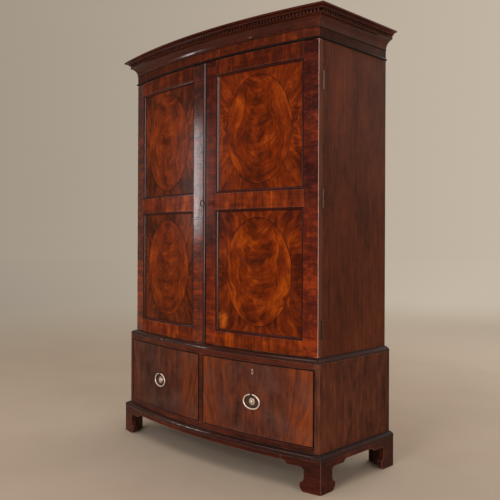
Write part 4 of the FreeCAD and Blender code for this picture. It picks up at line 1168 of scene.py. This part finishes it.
@dataclass(frozen=True)
class Screw:
    """A slotted screw head, let into a face."""

    radius: float = 0.0031
    slot_angle: float = 0.16
    steps: int = 8
    top_share: float = 0.88
    sink: float = 0.0002
    rise: float = 0.00025

    def add_to(self, mesh: BMesh, centre: Vector, facing: Vector, turn: float) -> None:
        """Add the two halves of the head to a mesh.

        Args:
            mesh: The mesh.
            centre: The middle of the head on the face that it is let into.
            facing: The direction that the face looks in.
            turn: The angle of the slot.
        """
        side = facing.cross(Vector((0.0, 0.0, 1.0))).normalized()
        up = side.cross(facing)
        for start in (turn + self.slot_angle, turn + self.slot_angle + math.pi):
            low, high = [], []
            for step in range(self.steps + 1):
                angle = start + (math.pi - 2 * self.slot_angle) * step / self.steps
                out = (side * math.cos(angle) + up * math.sin(angle)) * self.radius
                low.append(mesh.verts.new(centre + out - facing * self.sink))
                high.append(mesh.verts.new(centre + out * self.top_share + facing * self.rise))
            mesh.faces.new(high)
            for step, (below, above) in enumerate(zip(low, high)):
                mesh.faces.new((below, low[step - 1], high[step - 1], above))


@dataclass(frozen=True)
class Wedge:
    """The face of one dovetail, let into the end of a board that looks along X."""

    ends: tuple[Span, Span]
    middle_z: float
    sink: float = 0.0004
    rise: float = 0.0001

    def add_to(self, mesh: BMesh, x: float, outward: int) -> None:
        """Add the face to a mesh.

        Args:
            mesh: The mesh.
            x: The plane of the board's face.
            outward: The way that the face looks along X, 1 or -1.
        """
        below = [(y, self.middle_z - half) for y, half in self.ends]
        above = [(y, self.middle_z + half) for y, half in self.ends[::-1]]
        low = [mesh.verts.new((x - outward * self.sink, y, z)) for y, z in below + above]
        high = [mesh.verts.new((x + outward * self.rise, y, z)) for y, z in below + above]
        mesh.faces.new(low[::-1])
        mesh.faces.new(high)
        for step, (lower, upper) in enumerate(zip(low, high)):
            mesh.faces.new((low[step - 1], lower, upper, high[step - 1]))


@dataclass
class SubAssembly:
    """A part of the press, with what makes its finishes."""

    finisher: Finisher

    def put(self, finish: Finish, *nodes: str) -> None:
        """Put a finish on frame nodes.

        Args:
            finish: The finish that they get.
            nodes: The nodes' names.
        """
        for name in nodes:
            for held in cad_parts[name].material_slots:
                held.material = self.finisher.material(finish)
            LOG.info("%s: %s", name, finish.name)

    def soften(self, width: float, *nodes: str) -> None:
        """Round the sharp edges of frame nodes a little, as use does.

        Args:
            width: How far the rounding reaches from an edge, in metres.
            nodes: The nodes' names.
        """
        weld_reach, sharp_angle = 0.00001, math.radians(40)
        for name in nodes:
            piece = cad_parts[name]
            piece.modifiers.new("joined", "WELD").merge_threshold = weld_reach
            edge = piece.modifiers.new("worn_edges", "BEVEL")
            edge.width = width
            edge.segments = 2
            edge.limit_method = "ANGLE"
            edge.angle_limit = sharp_angle
            edge.harden_normals = True
            edge.use_clamp_overlap = True

    def add_piece(
        self, name: str, mesh: BMesh, body: str, finish: Finish, slot: Slot, smooth: bool = False
    ) -> None:
        """Turn a finished mesh into a piece that rides on a body.

        Args:
            name: The piece's name.
            mesh: Its mesh, in the shared frame.
            body: The body that it rides on.
            finish: Its finish.
            slot: The record's material slot, which is not used.
            smooth: Whether its faces are shaded as one round surface.
        """
        bmesh.ops.recalc_face_normals(mesh, faces=mesh.faces)
        data = bpy.data.meshes.new(name)
        mesh.to_mesh(data)
        mesh.free()
        data.polygons.foreach_set("use_smooth", [smooth] * len(data.polygons))
        data.materials.append(self.finisher.material(finish))
        piece = bpy.data.objects.new(name, data)
        bpy.context.scene.collection.objects.link(piece)
        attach(piece, body)
        LOG.info("%s made for %s", name, body)


@dataclass
class Cornice(SubAssembly):
    """Frieze, astragal, cove, dentils and crown moulding."""

    def dress(self) -> None:
        """Give each member its wood."""
        self.put(FRIEZE_WOOD, "cornice_frieze")
        self.put(SHADOW_BEAD_WOOD, "cornice_astragal")
        self.put(COVE_WOOD, "cornice_cove")
        self.put(CORNICE_WOOD, "cornice_dentils", "cornice_crown")
        self.put(LEVEL_PINE, "cornice_dust_board")


@dataclass
class UpperCarcase(SubAssembly):
    """Sides, boards, bearers and trays of the cupboard."""

    edge: float = 0.0012

    def dress(self) -> None:
        """Give each board its wood."""
        self.put(SIDE_WOOD, "upper_side_left", "upper_side_right")
        self.put(LEVEL_PINE, "upper_top_board", "upper_bottom_board", "tray_bearers")
        self.put(UPPER_BOARDS, "upper_back_boards")
        self.put(OAK, "linen_tray_1", "linen_tray_2", "linen_tray_3", "linen_tray_4")
        self.soften(self.edge, "upper_side_left", "upper_side_right")


@dataclass
class Door(SubAssembly):
    """One panelled door with its two ovals, and a thin stringing line round each of them."""

    side: Side
    middle_x: float
    panel_half_width: float
    seed: float
    panel_shades: Shades
    oval_shades: Shades
    band: WoodFinish
    moulding: WoodFinish
    corner_highlight: float = 0.0
    panel_half_height: float = 0.2698
    oval_half_width: float = 0.174
    oval_half_height: float = 0.231
    oval_heights: Span = (0.85425, 1.45875)
    oval_seed: float = 4.0
    bow_radius: float = 2.9252258
    bow_centre_y: float = 2.6952258
    line_width: float = 0.0034
    line_flat: float = 0.22
    line_rise: float = 0.00035
    line_sink: float = 0.0002
    line_steps: int = 160

    def face_y(self, x: float) -> float:
        """The depth of the bowed panel face at a place across it."""
        return self.bow_centre_y - math.sqrt(self.bow_radius**2 - x * x)

    def line_ring(self, mesh: BMesh, height: float, offset: float, rise: float) -> list[bmesh.types.BMVert]:
        """Add one ring of points along the edge of an oval to a mesh.

        Args:
            mesh: The mesh.
            height: The height of the oval's middle.
            offset: How far outside the oval the ring runs.
            rise: How far it stands in front of the panel.

        Returns:
            The points.
        """
        ring = []
        for step in range(self.line_steps):
            turn = 2 * math.pi * step / self.line_steps
            x = self.middle_x + (self.oval_half_width + offset) * math.cos(turn)
            z = height + (self.oval_half_height + offset) * math.sin(turn)
            ring.append(mesh.verts.new((x, self.face_y(x) - rise, z)))
        return ring

    def build_lines(self) -> None:
        """Lay a thin dark stringing line round each oval."""
        foot, flat = 0.5 * self.line_width, self.line_flat * self.line_width
        profile = (
            (-foot, -self.line_sink),
            (-flat, self.line_rise),
            (flat, self.line_rise),
            (foot, -self.line_sink),
        )
        for tier, height in zip(("lower", "upper"), self.oval_heights):
            mesh = bmesh.new()
            rings = [self.line_ring(mesh, height, offset, rise) for offset, rise in profile]
            for inner, outer in zip(rings, rings[1:] + rings[:1]):
                for step in range(self.line_steps):
                    after = (step + 1) % self.line_steps
                    mesh.faces.new((inner[step], outer[step], outer[after], inner[after]))
            name = "door_%s_%s_stringing" % (self.side.word, tier)
            self.add_piece(name, mesh, self.side.word + "_door", LINE_WOOD, Slot.MAHOGANY, smooth=True)

    def dress(self) -> None:
        """Give each member its veneer or metal."""
        name = "door_%s_" % self.side.word
        panel = FigureFinish(
            name + "panel_veneer",
            Figure.SPANDREL,
            self.panel_shades,
            self.middle_x,
            self.panel_half_width,
            self.panel_half_height,
            self.seed,
            *self.oval_heights,
            corner_highlight=self.corner_highlight,
        )
        oval = FigureFinish(
            name + "oval_veneer",
            Figure.OVAL,
            self.oval_shades,
            self.middle_x,
            self.oval_half_width,
            self.oval_half_height,
            self.seed + self.oval_seed,
            *self.oval_heights,
        )
        self.put(panel, name + "panels")
        self.put(oval, name + "ovals")
        self.put(self.band, name + "stiles")
        self.put(FRAME_WOOD, name + "rails")
        self.put(self.moulding, name + "panel_mouldings")
        self.put(HINGE_BRASS, name + "hinge_leaves")
        self.build_lines()


@dataclass
class DoorFittings(SubAssembly):
    """Meeting bead, lock, key, escutcheon, keeper and hinges, with the screws of the hinges and the lock."""

    screw: Screw = Screw()
    hinge_heights: tuple[float, ...] = (0.632, 1.155, 1.625)
    screw_steps: tuple[float, ...] = (-0.025, 0.0, 0.025)
    door_leaf: Span = (0.5931, -0.15497)
    carcase_leaf: Span = (0.59293, -0.15398)
    leaf_facing: Span = (0.2076, 0.9782)
    hinge_turn: float = 1.1
    screw_turn: float = 0.7
    carcase_turn: float = 0.4
    lock_turn: float = 0.9
    lock_face_y: float = -0.205
    lock_screws: tuple[Span, ...] = ((0.011, 1.142), (0.057, 1.142), (0.011, 1.18), (0.057, 1.18))

    def build_hinge_screws(self) -> None:
        """Drive the screws of the hinge leaves."""
        carcase = bmesh.new()
        for side in Side:
            door = bmesh.new()
            back = Vector((-side.value * self.leaf_facing[0], self.leaf_facing[1], 0.0))
            for row, height in enumerate(self.hinge_heights):
                for place, step in enumerate(self.screw_steps):
                    turn = self.hinge_turn * row + self.screw_turn * place
                    on_door = Vector((side.value * self.door_leaf[0], self.door_leaf[1], height + step))
                    on_side = Vector((side.value * self.carcase_leaf[0], self.carcase_leaf[1], height + step))
                    self.screw.add_to(door, on_door, back, turn)
                    self.screw.add_to(carcase, on_side, -back, turn + self.carcase_turn)
            name = "door_%s_hinge_screws" % side.word
            self.add_piece(name, door, side.word + "_door", FILED_STEEL, Slot.STEEL)
        self.add_piece("carcase_hinge_screws", carcase, "carcase", FILED_STEEL, Slot.STEEL)

    def build_lock_screws(self) -> None:
        """Drive the screws of the lock case."""
        mesh = bmesh.new()
        back = Vector((0.0, 1.0, 0.0))
        for place, (x, z) in enumerate(self.lock_screws):
            self.screw.add_to(mesh, Vector((x, self.lock_face_y, z)), back, self.lock_turn * place)
        self.add_piece("door_lock_screws", mesh, "right_door", FILED_STEEL, Slot.STEEL)

    def dress(self) -> None:
        """Give each fitting its wood or metal."""
        self.put(RIGHT_MOULDING, "door_left_meeting_bead")
        self.put(FILED_STEEL, "door_lock_case", "door_lock_bolt", "hinge_pins")
        self.put(KEY_METAL, "door_key")
        self.put(HINGE_BRASS, "carcase_hinge_leaves")
        self.put(DULL_BRASS, "door_keeper", "door_escutcheon")
        self.build_hinge_screws()
        self.build_lock_screws()


@dataclass
class Base(SubAssembly):
    """Carcase of the drawers, with the waist moulding on it."""

    edge: float = 0.0012

    def dress(self) -> None:
        """Give each board its wood."""
        self.put(BASE_SIDE_WOOD, "base_side_left", "base_side_right")
        self.put(BASE_WOOD, "base_top_rail", "base_top_board", "base_partition", "base_bottom_board")
        self.put(WAIST_WOOD, "waist_moulding")
        self.put(BASE_BOARDS, "base_back_boards")
        self.soften(self.edge, "base_side_left", "base_side_right")


@dataclass
class Drawer(SubAssembly):
    """One drawer with its cock bead, escutcheon, ring pull and dovetails."""

    side: Side
    middle_x: float
    seed: float
    flame_share: float
    lean: float
    shades: Shades
    rim_colour: Colour
    # Dark middle of the escutcheon: tarnish together with painted shade for the keyhole.
    rim_tarnish_and_hole_shade: Colour = (34, 20, 14)
    plate_colour: Colour = (232, 207, 188)
    plate_tarnish: Colour = (64, 47, 36)
    handle_z: float = 0.314
    rosette_radius: float = 0.0148
    tail_count: int = 4
    tail_length: float = 0.0088
    tail_shares: Span = (0.27, 0.36)
    pin_length: float = 0.012
    pin_shares: Span = (0.1, 0.06)

    def build_dovetails(self) -> None:
        """Show the tails in the ends of the front, and the pins of the back in the sides."""
        name = "drawer_%s_" % self.side.word
        body = self.side.word + "_drawer"
        front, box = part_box(name + "front"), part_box(name + "box")
        step = (box[1][2] - box[0][2]) / self.tail_count
        tail_halves = [step * share for share in self.tail_shares]
        pin_halves = [step * share for share in self.pin_shares]
        pin_ends = tuple(zip((box[1][1] - self.pin_length, box[1][1]), pin_halves))
        tails, pins = bmesh.new(), bmesh.new()
        for corner, outward in ((0, -1), (1, 1)):
            outer = abs(front[corner][0]) > abs(self.middle_x)
            root = front[1][1] if outer else box[0][1]
            tail_ends = tuple(zip((root, root - self.tail_length), tail_halves))
            for place in range(self.tail_count):
                height = box[0][2] + step * (place + 0.5)
                Wedge(tail_ends, height).add_to(tails, front[corner][0], outward)
                Wedge(pin_ends, height).add_to(pins, box[corner][0], outward)
        self.add_piece(name + "dovetails", tails, body, OAK, Slot.OAK)
        self.add_piece(name + "dovetail_pins", pins, body, END_OAK, Slot.OAK)

    def dress(self) -> None:
        """Give each member its wood or metal."""
        name = "drawer_%s_" % self.side.word
        veneer = DrawerFinish(
            name + "front_veneer", self.middle_x, self.seed, self.flame_share, self.lean, self.shades
        )
        low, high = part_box(name + "escutcheon")
        rim = MetalFinish(
            name + "rim_brass",
            self.rim_colour,
            self.rim_tarnish_and_hole_shade,
            rubbed=Rubbed.RIM,
            centre=((low[0] + high[0]) / 2, (low[2] + high[2]) / 2),
            reach=((high[0] - low[0]) / 2, (high[2] - low[2]) / 2),
        )
        plate = MetalFinish(
            name + "plate_brass",
            self.plate_colour,
            self.plate_tarnish,
            amount=1.0,
            rubbed=Rubbed.BOSS,
            centre=(self.middle_x, self.handle_z),
            reach=(self.rosette_radius, self.rosette_radius),
        )
        self.put(veneer, name + "front")
        self.put(OAK, name + "box")
        self.put(SHADOW_BEAD_WOOD, name + "cock_bead")
        self.put(BRIGHT_BRASS, name + "handle_ring")
        self.put(rim, name + "escutcheon")
        self.put(plate, name + "handle_plate")
        self.build_dovetails()


@dataclass
class Plinth(SubAssembly):
    """Plinth moulding, aprons, bracket feet and glue blocks."""

    def dress(self) -> None:
        """Give each member its wood."""
        self.put(PLINTH_WOOD, "plinth_moulding")
        self.put(FOOT_WOOD, "plinth_aprons", "bracket_feet")
        self.put(DARK_PINE, "glue_blocks")


@dataclass(frozen=True)
class Lamp:
    """A soft oblong lamp."""

    name: str
    place: Point
    aim: Point
    width: float
    height: float
    power: float

    def build(self) -> None:
        """Hang the lamp and point it at its aim."""
        light = bpy.data.lights.new(self.name, "AREA")
        light.shape = "RECTANGLE"
        light.size = self.width
        light.size_y = self.height
        light.energy = self.power
        lamp = bpy.data.objects.new(self.name, light)
        lamp.location = self.place
        lamp.rotation_euler = (Vector(self.aim) - Vector(self.place)).to_track_quat("-Z", "Y").to_euler()
        bpy.context.scene.collection.objects.link(lamp)
        LOG.info("%s hung", self.name)


@dataclass
class Studio:
    """Plain floor, soft light and the camera."""

    floor_size: float = 60.0
    floor_colour: Colour = (178, 161, 144)
    floor_stain: Colour = (158, 140, 122)
    floor_far: Colour = (240, 230, 216)
    floor_fade: Span = (1.5, 9.0)
    floor_roughness: float = 0.8
    room_colour: Colour = (198, 184, 166)
    room_level: float = 0.8
    room_swing: float = 0.45
    room_most: float = 0.98
    bright_side: Point = (0.7071, 0.7071, 0.0)
    camera_place: Point = (2.26096, -2.2505, 0.98498)
    camera_ahead: Point = (-0.7013, 0.7129, 0.0005)
    camera_roll: float = 0.23
    camera_lens: float = 48.19
    camera_shift: float = -0.0187
    lamps: tuple[Lamp, ...] = (
        Lamp("front_lamp", (1.1, -4.2, 1.7), (0.0, -0.2, 1.0), 1.8, 2.4, 100.0),
        Lamp("window_lamp", (-2.58, -2.2, 1.55), (-0.05, -0.24, 1.25), 0.18, 1.0, 9.4),
        Lamp("top_lamp", (-0.4, -1.2, 4.6), (-0.1, -0.3, 0.0), 3.2, 3.2, 46.0),
        Lamp("side_lamp", (4.0, -1.0, 2.4), (0.3, 0.0, 0.9), 2.0, 2.0, 32.0),
        Lamp("back_lamp", (0.4, 3.8, 2.8), (0.0, 0.2, 1.0), 2.4, 2.4, 60.0),
    )

    def room_shade(self, tree: Tree, direction: Value) -> Value:
        """Give the pale colour of the room, dimmer in front of the press than behind it.

        Args:
            tree: The node tree that needs the colour.
            direction: The direction that is looked in.

        Returns:
            The colour in that direction.
        """
        unit = tree.take("VectorMath", "Vector", {0: direction}, operation="NORMALIZE")
        side = tree.dot(unit, self.bright_side)
        level = tree.math("MULTIPLY_ADD", side, self.room_swing, self.room_level)
        capped = tree.math("MINIMUM", level, self.room_most)
        return tree.stretch(tone(self.room_colour)[:3], tree.vector(capped, capped, capped))

    def floor_material(self) -> Material:
        """Make the floor's material, which the eye sees run out into the room's own colour.

        Returns:
            The material.
        """
        s = Surface("pale_floor")
        stain = s.noise(s.place, 1.5, 4.0, 0.6).fade(0.2, 0.8, 0.4)
        near = s.mix(stain, tone(self.floor_colour), tone(self.floor_stain))
        far = s.length(s.place).fade(*self.floor_fade)
        s.shade(Base_Color=s.mix(far, near, tone(self.floor_far)), Roughness=self.floor_roughness)
        path = s.node("LightPath").outputs
        eye, gloss, glass = (
            Value(s, path[kind]) for kind in ("Is Camera Ray", "Is Glossy Ray", "Is Transmission Ray")
        )
        share = s.math("MULTIPLY", far, eye + gloss + glass, clamp=True)
        room = s.take("Emission", 0, {"Color": self.room_shade(s, s.place)})
        shown = s.take("MixShader", 0, {0: share, 1: Value(s, s.shader.outputs[0]), 2: room})
        s.feed(s.nodes["Material Output"].inputs["Surface"], shown)
        return s.material

    def build_floor(self) -> None:
        """Lay the floor."""
        half = self.floor_size / 2
        corners = ((-half, -half), (half, -half), (half, half), (-half, half))
        data = bpy.data.meshes.new("floor")
        data.from_pydata([(x, y, 0.0) for x, y in corners], [], [range(len(corners))])
        data.materials.append(self.floor_material())
        floor = bpy.data.objects.new("floor", data)
        bpy.context.scene.collection.objects.link(floor)
        LOG.info("floor laid")

    def build_light(self) -> None:
        """Hang the lamps and set the world."""
        world = bpy.data.worlds.new("soft_room")
        bpy.context.scene.world = world
        world.use_nodes = True
        tree = Tree(world.node_tree)
        looked = tree.take("TexCoord", "Generated")
        tree.feed(tree.nodes["Background"].inputs["Color"], self.room_shade(tree, looked))
        for lamp in self.lamps:
            lamp.build()

    def build_camera(self) -> None:
        """Set up the camera at the photograph's viewing angle."""
        data = bpy.data.cameras.new("camera")
        data.sensor_width = 36.0
        data.lens = self.camera_lens
        data.shift_y = self.camera_shift
        ahead = Vector(self.camera_ahead).normalized()
        right = ahead.cross(Vector((0.0, 0.0, 1.0))).normalized()
        up = right.cross(ahead)
        roll = math.radians(self.camera_roll)
        rolled = right * math.cos(roll) + up * math.sin(roll)
        upright = rolled.cross(ahead)
        camera = bpy.data.objects.new("camera", data)
        turn = Matrix((rolled, upright, -ahead)).transposed().to_4x4()
        camera.matrix_world = Matrix.Translation(Vector(self.camera_place)) @ turn
        bpy.context.scene.collection.objects.link(camera)
        bpy.context.scene.camera = camera
        bpy.context.scene.view_settings.view_transform = "Standard"
        LOG.info("camera set")


def main() -> None:
    """Build and dress the press in order."""
    logging.basicConfig(level=logging.INFO, format="%(message)s")
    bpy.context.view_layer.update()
    studio = Studio()
    studio.build_camera()
    finisher = Finisher()
    for part in (
        Cornice(finisher),
        UpperCarcase(finisher),
        Door(
            finisher,
            Side.LEFT,
            middle_x=-0.3075,
            panel_half_width=0.2255,
            seed=2.0,
            panel_shades=Shades((57, 22, 10), (89, 36, 13), (120, 49, 13)),
            oval_shades=Shades((70, 25, 9), (110, 41, 10), (150, 62, 14)),
            band=LEFT_BAND_WOOD,
            moulding=LEFT_MOULDING,
        ),
        Door(
            finisher,
            Side.RIGHT,
            middle_x=0.2995,
            panel_half_width=0.2335,
            seed=31.0,
            panel_shades=Shades((66, 22, 8), (102, 36, 9), (140, 56, 11)),
            oval_shades=Shades((70, 24, 7), (111, 39, 8), (160, 68, 12)),
            band=RIGHT_BAND_WOOD,
            moulding=RIGHT_MOULDING,
            corner_highlight=0.9,
        ),
        DoorFittings(finisher),
        Base(finisher),
        Drawer(
            finisher,
            Side.LEFT,
            middle_x=-0.307,
            seed=5.0,
            flame_share=0.45,
            lean=0.22,
            shades=Shades((40, 18, 14), (70, 34, 24), (98, 47, 26)),
            rim_colour=(112, 78, 56),
        ),
        Drawer(
            finisher,
            Side.RIGHT,
            middle_x=0.307,
            seed=9.0,
            flame_share=0.8,
            lean=0.06,
            shades=Shades((48, 23, 19), (81, 41, 30), (112, 55, 31)),
            rim_colour=(226, 196, 168),
        ),
        Plinth(finisher),
    ):
        part.dress()
    studio.build_floor()
    studio.build_light()


if __name__ == "__main__":
    main()
